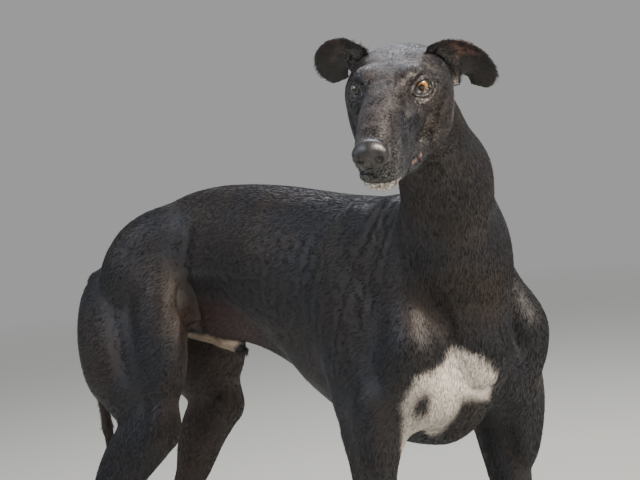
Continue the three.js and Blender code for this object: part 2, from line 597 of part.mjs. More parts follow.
// Quadric edge collapse: takes out the vertices that change the surface least, and keeps it closed. It stops at the
// wanted number of triangles, or when the next change would cost more than mostCost.
function simplify({ positions, triangles }, target, mostCost = Infinity) {
  const P = Float64Array.from(positions);
  const count = P.length / 3;
  const F = Int32Array.from(triangles);
  const faces = F.length / 3;
  const live = new Uint8Array(faces).fill(1);
  const around = Array.from({ length: count }, () => []);
  const Q = new Float64Array(count * 10);
  const normal = (a, b, c) => {
    const ux = P[3 * b] - P[3 * a];
    const uy = P[3 * b + 1] - P[3 * a + 1];
    const uz = P[3 * b + 2] - P[3 * a + 2];
    const vx = P[3 * c] - P[3 * a];
    const vy = P[3 * c + 1] - P[3 * a + 1];
    const vz = P[3 * c + 2] - P[3 * a + 2];
    return [uy * vz - uz * vy, uz * vx - ux * vz, ux * vy - uy * vx];
  };
  for (let f = 0; f < faces; f++) {
    const [a, b, c] = [F[3 * f], F[3 * f + 1], F[3 * f + 2]];
    const n = normal(a, b, c);
    const area = Math.hypot(...n);
    const [x, y, z] = area > 1e-12 ? n.map((v) => v / area) : [0, 0, 0];
    const d = -(x * P[3 * a] + y * P[3 * a + 1] + z * P[3 * a + 2]);
    const q = [x * x, x * y, x * z, x * d, y * y, y * z, y * d, z * z, z * d, d * d];
    for (const v of [a, b, c]) {
      around[v].push(f);
      for (let k = 0; k < 10; k++) Q[v * 10 + k] += q[k] * area;
    }
  }
  const stamp = new Int32Array(count);
  const gone = new Uint8Array(count);
  const heap = [];
  const push = (item) => {
    let i = heap.length;
    heap.push(item);
    while (i > 0) {
      const up = (i - 1) >> 1;
      if (heap[up][0] <= item[0]) break;
      heap[i] = heap[up];
      i = up;
    }
    heap[i] = item;
  };
  const pop = () => {
    const top = heap[0];
    const last = heap.pop();
    if (heap.length) {
      let i = 0;
      for (;;) {
        let c = 2 * i + 1;
        if (c >= heap.length) break;
        if (c + 1 < heap.length && heap[c + 1][0] < heap[c][0]) c++;
        if (heap[c][0] >= last[0]) break;
        heap[i] = heap[c];
        i = c;
      }
      heap[i] = last;
    }
    return top;
  };
  const SLIVER = 2e-3; // twice the area of the smallest triangle that counts
  const EVEN = 2e-3; // a little weight on length keeps the triangles even where the surface is flat
  const consider = (a, b) => {
    const q = new Float64Array(10);
    for (let k = 0; k < 10; k++) q[k] = Q[a * 10 + k] + Q[b * 10 + k];
    const [xx, xy, xz, xd, yy, yz, yd, zz, zd, dd] = q;
    const det = xx * (yy * zz - yz * yz) - xy * (xy * zz - yz * xz) + xz * (xy * yz - yy * xz);
    const length2 =
      (P[3 * a] - P[3 * b]) ** 2 + (P[3 * a + 1] - P[3 * b + 1]) ** 2 + (P[3 * a + 2] - P[3 * b + 2]) ** 2;
    const mid = [0, 1, 2].map((k) => (P[3 * a + k] + P[3 * b + k]) / 2);
    let spot = mid;
    const scale = Math.abs(xx) + Math.abs(yy) + Math.abs(zz);
    if (Math.abs(det) > 1e-4 * scale * scale * scale) {
      const inv = 1 / det;
      const s = [
        -inv * (xd * (yy * zz - yz * yz) - xy * (yd * zz - zd * yz) + xz * (yd * yz - zd * yy)),
        -inv * (xx * (yd * zz - zd * yz) - xd * (xy * zz - yz * xz) + xz * (xy * zd - yd * xz)),
        -inv * (xx * (yy * zd - yz * yd) - xy * (xy * zd - yd * xz) + xd * (xy * yz - yy * xz)),
      ];
      const off2 = (s[0] - mid[0]) ** 2 + (s[1] - mid[1]) ** 2 + (s[2] - mid[2]) ** 2;
      if (off2 < length2) spot = s;
    }
    const [x, y, z] = spot;
    const cost =
      xx * x * x + 2 * xy * x * y + 2 * xz * x * z + 2 * xd * x + yy * y * y + 2 * yz * y * z + 2 * yd * y +
      zz * z * z + 2 * zd * z + dd;
    push([Math.max(cost, 0) + EVEN * length2 * length2 * 0.001, a, b, stamp[a], stamp[b], spot]);
  };
  const neighbours = (v) => {
    const found = new Set();
    for (const f of around[v]) for (let k = 0; k < 3; k++) if (F[3 * f + k] !== v) found.add(F[3 * f + k]);
    return found;
  };
  for (let f = 0; f < faces; f++)
    for (let k = 0; k < 3; k++) {
      const a = F[3 * f + k];
      const b = F[3 * f + ((k + 1) % 3)];
      if (a < b) consider(a, b);
    }
  let left = faces;
  while (left > target && heap.length) {
    const [cost, a, b, sa, sb, spot] = pop();
    if (cost > mostCost) break;
    if (gone[a] || gone[b] || stamp[a] !== sa || stamp[b] !== sb) continue;
    const na = neighbours(a);
    const nb = neighbours(b);
    let shared = 0;
    for (const v of na) if (nb.has(v)) shared++;
    if (shared !== 2) continue;
    const old = [P[3 * a], P[3 * a + 1], P[3 * a + 2], P[3 * b], P[3 * b + 1], P[3 * b + 2]];
    const kept = [];
    for (const f of around[a]) if (F[3 * f] !== b && F[3 * f + 1] !== b && F[3 * f + 2] !== b) kept.push(f);
    for (const f of around[b]) if (F[3 * f] !== a && F[3 * f + 1] !== a && F[3 * f + 2] !== a) kept.push(f);
    const before = kept.map((f) => normal(F[3 * f], F[3 * f + 1], F[3 * f + 2]));
    for (let k = 0; k < 3; k++) P[3 * a + k] = P[3 * b + k] = spot[k];
    const fine = kept.every((f, i) => {
      const n = normal(F[3 * f], F[3 * f + 1], F[3 * f + 2]);
      const o = before[i];
      const oldArea = Math.hypot(...o);
      const newArea = Math.hypot(...n);
      if (oldArea < SLIVER) return newArea >= oldArea;
      return newArea > SLIVER && n[0] * o[0] + n[1] * o[1] + n[2] * o[2] > 0.35 * newArea * oldArea;
    });
    if (!fine) {
      for (let k = 0; k < 3; k++) {
        P[3 * a + k] = old[k];
        P[3 * b + k] = old[3 + k];
      }
      continue;
    }
    for (const f of around[b]) {
      const dies = F[3 * f] === a || F[3 * f + 1] === a || F[3 * f + 2] === a;
      if (dies) {
        live[f] = 0;
        left--;
        for (let k = 0; k < 3; k++) {
          const v = F[3 * f + k];
          if (v !== b) around[v] = around[v].filter((g) => g !== f);
        }
      } else {
        for (let k = 0; k < 3; k++) if (F[3 * f + k] === b) F[3 * f + k] = a;
        around[a].push(f);
      }
    }
    gone[b] = 1;
    around[b] = [];
    for (let k = 0; k < 10; k++) Q[a * 10 + k] += Q[b * 10 + k];
    stamp[a]++;
    for (const v of neighbours(a)) consider(Math.min(a, v), Math.max(a, v));
  }
  const used = new Map();
  const outP = [];
  const outF = [];
  for (let f = 0; f < faces; f++)
    if (live[f])
      for (let k = 0; k < 3; k++) {
        const v = F[3 * f + k];
        if (!used.has(v)) {
          used.set(v, outP.length / 3);
          outP.push(P[3 * v], P[3 * v + 1], P[3 * v + 2]);
        }
        outF.push(used.get(v));
      }
  return { positions: outP, triangles: outF };
}

// Closed meshes to solids and back.
const solidFrom = ({ positions, triangles }) =>
  new wasm.Manifold(
    new wasm.Mesh({
      numProp: 3,
      vertProperties: Float32Array.from(positions),
      triVerts: Uint32Array.from(triangles),
    }),
  );

function solidOf(geometry, matrix = new THREE.Matrix4()) {
  const bare = geometry.index ? geometry.toNonIndexed() : geometry.clone();
  bare.deleteAttribute("normal");
  bare.deleteAttribute("uv");
  bare.applyMatrix4(matrix);
  const merged = mergeVertices(bare, 1e-4);
  return solidFrom({ positions: merged.attributes.position.array, triangles: merged.index.array });
}

const largest = (solid) => solid.decompose().reduce((a, b) => (b.volume() > a.volume() ? b : a));

// A form grown from the flesh inside a box of the given frame, with about so many triangles.
function grown(field, low, high, cell, triangles, frame) {
  const made = simplify(polygonise(field, low, high, cell, frame), triangles);
  const v = new THREE.Vector3();
  const positions = [];
  for (let i = 0; i < made.positions.length; i += 3) {
    v.fromArray(made.positions, i);
    if (frame) v.applyMatrix4(frame);
    positions.push(v.x, v.y, v.z);
  }
  return largest(solidFrom({ positions, triangles: made.triangles }));
}

// A cutting block: a box on the far side of the plane through point with that normal. grow widens it.
function block(point, normal, size, frame, grow = 0) {
  const n = new THREE.Vector3(...normal).normalize();
  const turn = new THREE.Quaternion().setFromUnitVectors(new THREE.Vector3(0, 0, 1), n);
  const [wide, deep, tall] = size.map((v) => v + 2 * grow);
  const matrix = new THREE.Matrix4().compose(
    new THREE.Vector3(...point).addScaledVector(n, size[2] / 2),
    turn,
    new THREE.Vector3(1, 1, 1),
  );
  if (frame) matrix.premultiply(frame);
  return solidOf(new THREE.BoxGeometry(wide, deep, tall), matrix);
}

// A closed skin over rings of equal length, each ring read as a front side and a back side.
function loft(rings) {
  const n = rings[0].length;
  const positions = rings.flat(2);
  const triangles = [];
  for (let i = 0; i < rings.length - 1; i++)
    for (let j = 0; j < n; j++) {
      const a = i * n + j;
      const b = i * n + ((j + 1) % n);
      triangles.push(a, b, b + n, a, b + n, a + n);
    }
  const last = (rings.length - 1) * n;
  for (let j = 0; j < n / 2 - 1; j++) {
    const [a, b, c, d] = [j, j + 1, n - 2 - j, n - 1 - j];
    triangles.push(a, c, b, a, d, c);
    triangles.push(last + a, last + b, last + c, last + a, last + c, last + d);
  }
  const made = solidFrom({ positions, triangles });
  if (made.volume() > 0) return made;
  for (let i = 0; i < triangles.length; i += 3) triangles.splice(i, 3, triangles[i], triangles[i + 2], triangles[i + 1]);
  return solidFrom({ positions, triangles });
}

const moved = (solid, matrix) => {
  const { vertProperties, triVerts, numVert } = solid.getMesh();
  const positions = [];
  const v = new THREE.Vector3();
  for (let i = 0; i < numVert; i++) {
    v.fromArray(vertProperties, i * 3).applyMatrix4(matrix);
    positions.push(v.x, v.y, v.z);
  }
  return solidFrom({ positions, triangles: triVerts });
};

// Head details, in the head's frame.
const eyeAt = (s) => new THREE.Vector3(EYE_AT[0], s * EYE_AT[1], EYE_AT[2]);
const gaze = (s) => new THREE.Vector3(Math.cos(EYE_TURN), s * Math.sin(EYE_TURN), 0);
const LID_OPEN = 6; // half the height of the opening between the lids
const LID_CURVE = 14; // radius of each lid's edge

function eyeball(s, radius) {
  const at = new THREE.Matrix4().makeTranslation(...eyeAt(s).toArray());
  return solidOf(new THREE.IcosahedronGeometry(radius, 3), at);
}

// Opening between the lids: a lens-shaped channel along the gaze, its inner corner a little lower.
function lidOpening(s) {
  const along = new THREE.Quaternion().setFromUnitVectors(new THREE.Vector3(0, 1, 0), gaze(s));
  const tilt = new THREE.Quaternion().setFromAxisAngle(gaze(s), s * THREE.MathUtils.degToRad(10));
  const half = (up) => {
    const offset = new THREE.Vector3(0, 0, up * (LID_CURVE - LID_OPEN)).applyQuaternion(tilt);
    const at = eyeAt(s).addScaledVector(gaze(s), 15).add(offset);
    const matrix = new THREE.Matrix4().compose(at, along, new THREE.Vector3(1, 1, 1));
    return solidOf(new THREE.CylinderGeometry(LID_CURVE, LID_CURVE, 20, 36), matrix);
  };
  return half(1).intersect(half(-1));
}

// Distance from a point inside the head to its surface.
function reachOut(from, way) {
  let out = 0;
  for (let i = 0; i < 60; i++) {
    const d = headPieces(from[0] + way[0] * out, from[1] + way[1] * out, from[2] + way[2] * out);
    if (d > -0.02) break;
    out += Math.max(-d * 0.8, 0.05);
  }
  return out;
}

// Line of the mouth: a thin groove from corner to corner round the muzzle, following the surface.
const MOUTH_CORNER = [46, -45];
const MOUTH_FRONT = [86, -41];
function mouthLine() {
  const rings = [];
  const station = (x, z, angle, deepest) => {
    const way = [Math.cos(angle), Math.sin(angle), 0];
    const out = reachOut([x, 0, z], way);
    const depth = Math.min(deepest, out * 0.35);
    const at = (r, up) => [x + way[0] * r, way[1] * r, z + up];
    rings.push([at(out - depth, 0.5), at(out + 8, 0.5), at(out + 8, -0.5), at(out - depth, -0.5)]);
  };
  const SIDE_STEPS = 8;
  const FRONT_STEPS = 7;
  for (const s of [-1, 1]) {
    const half = [];
    for (let i = 0; i <= SIDE_STEPS; i++) half.push([i / SIDE_STEPS, s * 90]);
    for (let i = 1; i < FRONT_STEPS; i++) half.push([1, s * 90 * (1 - i / FRONT_STEPS)]);
    if (s < 0) half.push([1, 0]);
    if (s > 0) half.reverse();
    for (const [t, degrees] of half) {
      const x = lerp(MOUTH_CORNER[0], MOUTH_FRONT[0], t);
      const dip = 1.6 * Math.sin(Math.PI * t);
      const z = lerp(MOUTH_CORNER[1], MOUTH_FRONT[1], t) - dip;
      station(x, z, THREE.MathUtils.degToRad(degrees), lerp(1.2, 4, Math.min(t * 3, 1)));
    }
  }
  return loft(rings);
}

// Nostril: a comma, wide in front and trailing up to the side.
function nostril(s) {
  const round = solidOf(
    new THREE.SphereGeometry(1, 14, 10),
    new THREE.Matrix4().compose(
      new THREE.Vector3(NOSE_TIP - 5, s * 7.4, -23),
      new THREE.Quaternion(),
      new THREE.Vector3(9, 3.6, 3.4),
    ),
  );
  const slit = solidOf(
    new THREE.SphereGeometry(1, 14, 10),
    new THREE.Matrix4().compose(
      new THREE.Vector3(NOSE_TIP - 11, s * 13, -25),
      new THREE.Quaternion().setFromEuler(new THREE.Euler(s * 0.25, 0, s * 0.9)),
      new THREE.Vector3(7, 7.5, 1.5),
    ),
  );
  return round.add(slit);
}

// Ear: a thin cupped flap that stands out sideways, opens forwards and folds back over its outer half.
const EAR_THICK = 3.2;
const EAR_PATH = [
  // along the ear: x, y, z, half width, cup depth, thickness share
  [-58, 34, 0, 25, 17, 1.2],
  [-62, 46, 3, 28, 17, 1],
  [-66, 57, 5, 27, 14, 1],
  [-71, 67, 3, 23, 9, 0.95],
  [-78, 75, -6, 19, 5, 0.9],
  [-86, 77, -19, 16, 1, 0.85],
  [-92, 73, -32, 9, 0, 0.7],
];
const EAR_LIFT = { 1: [2, -6], [-1]: [6, 10] }; // at the root and at the tip: the right ear is pricked higher
const EAR_FACES = new THREE.Vector3(1, -0.1, -0.25); // the way the cup opens
const EAR_ROWS = 14;
const EAR_COLUMNS = 8;

function earFlap(s) {
  const spot = (u) => {
    const row = readStations(
      EAR_PATH.map((r, i) => [i / (EAR_PATH.length - 1), ...r]),
      u,
    );
    return row.slice(1);
  };
  const rings = [];
  for (let i = 0; i <= EAR_ROWS; i++) {
    const u = i / EAR_ROWS;
    const [x, y, level, half, cup, thick] = spot(u);
    const z = level + lerp(...EAR_LIFT[s], Math.min(u * 1.6, 1));
    const ahead = spot(Math.min(u + 0.02, 1));
    const behind = spot(Math.max(u - 0.02, 0));
    const along = new THREE.Vector3(ahead[0] - behind[0], ahead[1] - behind[1], ahead[2] - behind[2]).normalize();
    const across = new THREE.Vector3().crossVectors(EAR_FACES, along).normalize();
    const front = new THREE.Vector3().crossVectors(along, across).normalize();
    const middle = new THREE.Vector3(x, y, z);
    const face = (v, lift) => {
      const p = middle.clone();
      p.addScaledVector(across, half * v);
      p.addScaledVector(front, cup * (v * v - 0.45) + lift * (1 - 0.5 * v * v));
      return [p.x, s * p.y, p.z];
    };
    const ring = [];
    const half_t = (EAR_THICK * thick) / 2;
    for (let j = 0; j <= EAR_COLUMNS; j++) ring.push(face(-1 + (2 * j) / EAR_COLUMNS, half_t));
    for (let j = EAR_COLUMNS; j >= 0; j--) ring.push(face(-1 + (2 * j) / EAR_COLUMNS, -half_t));
    rings.push(ring);
  }
  return loft(rings);
}

// Where each ear leaves the skull.
const earBlock = (s, grow = 0) => block([-60, s * 52, 3], [0, s, 0.12], [120, 120, 70], null, grow);

// Cutting blocks that part the flesh into its lengths. Each is used as it is for one part and grown for the other.
const WIDE = 170;
const backOfHead = [-100, 0, 10];
const acrossNape = [0.9, 0, 0.436];
const headBlock = (grow = 0) => block(backOfHead, acrossNape, [400, 400, 400], headFrame, grow);
const noseBlock = (grow = 0) => block([NOSE_TIP - 13, 0, -19.5], [1, 0, 0], [45, 60, 30], headFrame, grow);
const neckBlock = (grow = 0) => block([12, 0, 706], [0.787, 0, 0.616], [460, 460, 420], null, grow);
const upperArmBlock = (s, grow = 0) => block([18, s * 56, 488], [0, s, 0], [262, 156, WIDE], null, grow);
const forearmBlock = (s, grow = 0) =>
  block([18, s * 46, (ELBOW + 2 + CARPUS + 8) / 2 - GAP], [0, s, 0], [262, ELBOW - CARPUS - 6 - GAP, WIDE], null, grow);
const forepawBlock = (s) => block([40, s * 100, 0], [0, 0, 1], [262, WIDE, CARPUS + 8 - 3 * GAP]);
const thighBlock = (s, grow = 0) => block([-498, s * 40, 538], [0, s * 0.985, -0.17], [296, 306, WIDE], pelvisFrame, grow);
const aboveStifle = (s) => block([-498, s * 96, STIFLE - 26], [0, 0, 1], [400, 200, 400], pelvisFrame);
const shankBlock = (s) => block([-498, s * 96, HOCK + 32], [0, 0, 1], [400, WIDE, STIFLE - HOCK - 58 - GAP], pelvisFrame);
const hindfootBlock = (s) => block([-560, s * 96, 0], [0, 0, 1], [400, WIDE, HOCK + 32 - GAP], pelvisFrame);
const TAIL_ROOT = [-586, 0, 606];
const TAIL_WAY = [-0.66, 0, -0.75];
const tailBlock = (grow = 0) => block(TAIL_ROOT, TAIL_WAY, [110, 60, 170], pelvisFrame, grow);

// Coat, skin and horn.
const coat = { color: 0x17171a, roughness: 0.48, metalness: 0 };
const leather = { color: 0x1c1b1d, roughness: 0.4, metalness: 0 };
const iris = { color: 0x8a5a22, roughness: 0.12, metalness: 0 };

const model = new THREE.Group();
function addNode(name, solid, look, most = 6000) {
  const { vertProperties, triVerts } = largest(solid).getMesh();
  const clean = simplify({ positions: vertProperties, triangles: triVerts }, 8, 0.02);
  const { positions, triangles } = clean.triangles.length > 3 * most ? simplify(clean, most) : clean;
  const onFloor = positions.map((v, i) => (i % 3 === 2 ? Math.max(v, 0) : v));
  const geometry = new THREE.BufferGeometry();
  geometry.setAttribute("position", new THREE.BufferAttribute(Float32Array.from(onFloor), 3));
  geometry.setIndex(triangles);
  geometry.translate(CENTRE.x, CENTRE.y, CENTRE.z);
  const mesh = new THREE.Mesh(geometry, new THREE.MeshStandardMaterial(look));
  mesh.name = name;
  model.add(mesh);
  return mesh;
}

// Head and its pieces.
let head = grown(flesh, [-118, -80, -104], [132, 80, 50], 2.1, 2900, headFrame).intersect(headBlock());
const noseChunk = grown(flesh, [100, -34, -50], [132, 34, 10], 1.5, 420, headFrame);
head = head.subtract(noseBlock(GAP));
for (const [side, s] of [
  ["left", 1],
  ["right", -1],
]) {
  const flap = earFlap(s);
  head = head.add(moved(flap.subtract(earBlock(s, GAP)), headFrame));
  addNode("ear_" + side, moved(flap.intersect(earBlock(s)), headFrame), coat);
  head = head.subtract(moved(eyeball(s, EYE_RADIUS + GAP).add(lidOpening(s)), headFrame));
  addNode("eye_" + side, moved(eyeball(s, EYE_RADIUS), headFrame), iris);
}
head = head.subtract(moved(mouthLine(), headFrame));
addNode("head", head, coat);
const nose = noseChunk.intersect(noseBlock()).subtract(moved(nostril(1).add(nostril(-1)), headFrame));
addNode("nose", nose, leather);

// Neck and trunk.
const neck = grown(flesh, [-40, -240, 490], [270, 120, 900], 5, 900).intersect(neckBlock());
addNode("neck", neck.subtract(headBlock(GAP)), coat);
let torso = grown(flesh, [-640, -330, 360], [190, 160, 770], 6.5, 2600).subtract(neckBlock(GAP));
for (const s of [1, -1]) {
  torso = torso.subtract(upperArmBlock(s, GAP));
  torso = torso.subtract(forearmBlock(s, GAP));
  torso = torso.subtract(thighBlock(s, GAP));
}
addNode("torso", torso.subtract(tailBlock(GAP)), coat);

// Tail, in two lengths that meet at mid height.
const tail = grown((x, y, z) => tailField(...unbend(x, y), z), [-640, -34, 220], [-540, 34, 650], 3, 520, pelvisFrame);
const TAIL_PART = 430;
const tailRoot = block(TAIL_ROOT, TAIL_WAY, [300, 200, 400], pelvisFrame);
const tailTop = block([-600, 0, TAIL_PART + GAP], [0, 0, 1], [200, 100, 300], pelvisFrame);
const tailEnd = block([-600, 0, TAIL_PART], [0, 0, -1], [200, 100, 300], pelvisFrame);
addNode("tail_base", tail.intersect(tailTop).intersect(tailRoot), coat);
addNode("tail_tip", tail.intersect(tailEnd), coat);

// Legs.
for (const [side, { s, dx }] of Object.entries(FORE)) {
  const [near, far] = s > 0 ? [40, 176] : [-176, -40];
  const arm = grown(flesh, [-130, near, 396], [160, far, 580], 5, 480);
  addNode("upper_arm_" + side, arm.intersect(upperArmBlock(s)), coat);
  const forearm = grown(flesh, [-70, near, CARPUS - 6], [100, far, ELBOW + 14], 3.6, 500);
  addNode("forearm_" + side, forearm.intersect(forearmBlock(s)), coat);
  const paw = grown(flesh, [-30 + dx, near, -8], [120 + dx, far, CARPUS + 20], 2.2, 760);
  addNode("forepaw_" + side, paw.intersect(forepawBlock(s)), coat);
}
for (const [side, { s, track, heel }] of Object.entries(HIND)) {
  const [near, far] = s > 0 ? [10, 165] : [-165, -10];
  const thigh = grown(flesh, [-660, near, STIFLE - 40], [-340, far, 705], 5.5, 760, pelvisFrame);
  addNode("thigh_" + side, thigh.intersect(thighBlock(s)).intersect(aboveStifle(s)), coat);
  const shank = grown(flesh, [-680, near, HOCK + 16], [-360, far, STIFLE + 10], 4, 560, pelvisFrame);
  addNode("shank_" + side, shank.intersect(shankBlock(s)), coat);
  const inner = s * (track - 50);
  const outer = s * (track + 60);
  const low = [heel - 60, Math.min(inner, outer), -8];
  const high = [heel + 112, Math.max(inner, outer), HOCK + 46];
  const foot = grown(flesh, low, high, 2.4, 900, pelvisFrame);
  addNode("hindfoot_" + side, foot.intersect(hindfootBlock(s)), coat);
}

export default model;
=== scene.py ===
import math

import bpy
import numpy as np
from mathutils import Matrix, Vector


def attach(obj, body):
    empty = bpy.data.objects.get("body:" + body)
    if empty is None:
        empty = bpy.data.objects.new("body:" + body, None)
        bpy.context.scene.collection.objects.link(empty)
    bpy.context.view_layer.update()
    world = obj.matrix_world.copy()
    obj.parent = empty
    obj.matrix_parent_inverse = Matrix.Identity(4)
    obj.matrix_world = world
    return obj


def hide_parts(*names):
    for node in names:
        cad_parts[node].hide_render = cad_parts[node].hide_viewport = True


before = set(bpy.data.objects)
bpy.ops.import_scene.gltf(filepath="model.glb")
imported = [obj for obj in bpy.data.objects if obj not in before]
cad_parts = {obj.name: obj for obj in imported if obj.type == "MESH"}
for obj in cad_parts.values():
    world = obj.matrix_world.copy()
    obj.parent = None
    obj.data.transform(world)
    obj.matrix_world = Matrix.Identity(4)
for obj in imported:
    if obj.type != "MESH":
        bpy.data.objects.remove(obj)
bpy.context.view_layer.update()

# Camera: a long lens a little below the dog's eye level, turned slightly on its axis as the photograph is.
LENS_PX = 1500  # focal length in pixels
PICTURE_PX = 640  # width of the picture in the same pixels
SENSOR_MM = 36
CAMERA_AT = (1.577, -1.066, 0.800)
CAMERA_YAW = math.radians(144.8)
CAMERA_PITCH = math.radians(-4.4)
CAMERA_ROLL = math.radians(-5.8)

ahead = Vector(
    (
        math.cos(CAMERA_YAW) * math.cos(CAMERA_PITCH),
        math.sin(CAMERA_YAW) * math.cos(CAMERA_PITCH),
        math.sin(CAMERA_PITCH),
    )
)
level = ahead.cross(Vector((0, 0, 1))).normalized()
upright = level.cross(ahead)
right = level * math.cos(CAMERA_ROLL) + upright * math.sin(CAMERA_ROLL)
top = upright * math.cos(CAMERA_ROLL) - level * math.sin(CAMERA_ROLL)
bpy.ops.object.camera_add()
camera = bpy.context.object
camera.matrix_world = Matrix(
    (
        (right.x, top.x, -ahead.x, CAMERA_AT[0]),
        (right.y, top.y, -ahead.y, CAMERA_AT[1]),
        (right.z, top.z, -ahead.z, CAMERA_AT[2]),
        (0, 0, 0, 1),
    )
)
camera.data.sensor_width = SENSOR_MM
camera.data.lens = LENS_PX * SENSOR_MM / PICTURE_PX
bpy.context.scene.camera = camera


def linear(hex_colour):
    """An sRGB hex value as the linear colour that a shader takes."""
    parts = [int(hex_colour[i : i + 2], 16) / 255 for i in (1, 3, 5)]
    parts = [c / 12.92 if c <= 0.04045 else ((c + 0.055) / 1.055) ** 2.4 for c in parts]
    return (*parts, 1.0)


def new_material(name):
    """An empty node material with its shader and output: returns (material, its tree, the shader)."""
    material = bpy.data.materials.new(name)
    material.use_nodes = True
    tree = material.node_tree
    return material, tree, tree.nodes["Principled BSDF"]


def node(tree, kind, settings=None, **inputs):
    """Adds a node. settings are its own properties; inputs are values or the sockets that feed it."""
    made = tree.nodes.new(kind)
    for name, value in (settings or {}).items():
        setattr(made, name, value)
    for name, value in inputs.items():
        key = int(name[1:]) if name[0] == "_" and name[1:].isdigit() else name.replace("_", " ")
        if isinstance(value, bpy.types.NodeSocket):
            tree.links.new(value, made.inputs[key])
        else:
            made.inputs[key].default_value = value
    return made


# Stage: a plain pale floor that fades out into the pale room around it.
FLOOR_COLOUR = "#b9b9b4"
ROOM_COLOUR = "#c8cac8"
ROOM_STRENGTH = 0.62
FLOOR_RADIUS = 7
FADE_FROM, FADE_TO = 1.6, 5.5  # metres from the middle where the floor fades out
bpy.ops.mesh.primitive_circle_add(vertices=96, radius=FLOOR_RADIUS, fill_type="NGON", location=(0, 0, 0))
floor = bpy.context.object
floor.name = "floor"
floor_look, tree, shader = new_material("matt painted floor")
shader.inputs["Base Color"].default_value = linear(FLOOR_COLOUR)
shader.inputs["Roughness"].default_value = 0.9
place = node(tree, "ShaderNodeTexCoord")
distance = node(tree, "ShaderNodeVectorMath", {"operation": "LENGTH"}, _0=place.outputs["Object"])
fade = node(
    tree, "ShaderNodeMapRange", {"clamp": True}, Value=distance.outputs["Value"], From_Min=FADE_FROM, From_Max=FADE_TO
)
clear = node(tree, "ShaderNodeBsdfTransparent")
mixed = node(
    tree,
    "ShaderNodeMixShader",
    Fac=fade.outputs["Result"],
    _1=shader.outputs["BSDF"],
    _2=clear.outputs["BSDF"],
)
tree.links.new(mixed.outputs["Shader"], tree.nodes["Material Output"].inputs["Surface"])
floor.data.materials.append(floor_look)

world = bpy.context.scene.world or bpy.data.worlds.new("room")
bpy.context.scene.world = world
world.use_nodes = True
world.node_tree.nodes["Background"].inputs["Color"].default_value = linear(ROOM_COLOUR)
world.node_tree.nodes["Background"].inputs["Strength"].default_value = ROOM_STRENGTH


def softbox(at, aim, size, watts, colour="#ffffff"):
    """A square area light at a point, turned to another."""
    bpy.ops.object.light_add(type="AREA", location=at)
    light = bpy.context.object
    light.data.size = size
    light.data.energy = watts
    light.data.color = linear(colour)[:3]
    light.rotation_mode = "QUATERNION"
    light.rotation_quaternion = (Vector(aim) - Vector(at)).to_track_quat("-Z", "Y")


softbox((2.4, 0.3, 2.5), (0.1, 0, 0.6), 0.8, 190, "#fff1df")
softbox((-0.6, -2.8, 2.4), (0, 0, 0.5), 2.2, 60, "#e6efff")
softbox((-1.2, 1.6, 2.8), (0, 0, 0.6), 1.6, 70, "#f2f6ff")

# Body: the dog's flesh under its coat, from nose to tail and down to the toes, as muscles and bones that melt
# into each other. They are laid out one by one in millimetres, in the straight dog's own frame, and then bent.
CENTRE = np.array([141.0, 77.0, 0.0])  # from the floor under the withers to the model's middle
ELBOW = 408
CARPUS = 170
HOCK = 212
STIFLE = 408
PELVIS_AT = -430
SPINE_BEND = math.radians(21)
BEND_RADIUS = -PELVIS_AT / SPINE_BEND
FORE = ((1, 34, 108), (-1, 4, 85))  # side, how far the foot is forward, distance from the middle
HIND = ((1, 80, -437, -577), (-1, 88, -421, -608))  # side, distance from the middle, place of knee and hock
HEAD_AT = np.array([265.0, -215.5, 828.0])
HEAD_TURN = [math.radians(a) for a in (-51.5, 20.5, -2.5)]  # yaw, pitch, roll
EYE_AT = (-9.0, 30.5, 0.0)
EYE_TURN = math.radians(26)


def smooth_min(a, b, k):
    h = np.maximum(k - np.abs(a - b), 0) / k
    return np.minimum(a, b) - h * h * k * 0.25


def unit(v):
    v = np.asarray(v, float)
    return v / np.linalg.norm(v)


def axes_of(a, b, side):
    a, b = np.asarray(a, float), np.asarray(b, float)
    length = np.linalg.norm(b - a)
    along = (b - a) / length
    across = np.asarray(side, float)
    across = unit(across - along * across.dot(along))
    return a, b, length, np.stack([along, across, np.cross(along, across)], 1)


def limb(a, b, ra, rb, flat=1, blend=14, side=(0, 1, 0)):
    a, b, length, axes = axes_of(a, b, side)
    slope = (ra - rb) / length
    rise = math.sqrt(1 - slope * slope)

    def distance(p):
        q = (p - a) @ axes
        along = q[:, 0]
        out = np.hypot(q[:, 1] / flat, q[:, 2])
        k = rise * along - slope * out
        middle = out * rise + along * slope - ra
        return np.where(
            k < 0, np.hypot(out, along) - ra, np.where(
                k > rise * length, np.hypot(out, along - length) - rb, middle
            )
        )

    return (a + b) / 2, length / 2 + max(ra, rb) * max(1, flat), blend, distance


def muscle(a, b, thick, deep, reach=1.1, blend=16, side=(0, 1, 0)):
    a, b, length, axes = axes_of(a, b, side)
    radii = np.array([length / 2 * reach, thick, deep])
    middle = (a + b) / 2

    def distance(p):
        q = (p - middle) @ axes / radii
        near = np.maximum(np.linalg.norm(q, axis=1), 1e-6)
        return near * (near - 1) / np.linalg.norm(q / radii, axis=1)

    return middle, radii.max(), blend, distance


def ball(at, radii, blend=12):
    at = np.asarray(at, float)
    step = np.array([radii[0], 0, 0])
    return muscle(at - step, at + step, radii[1], radii[2], 1, blend)


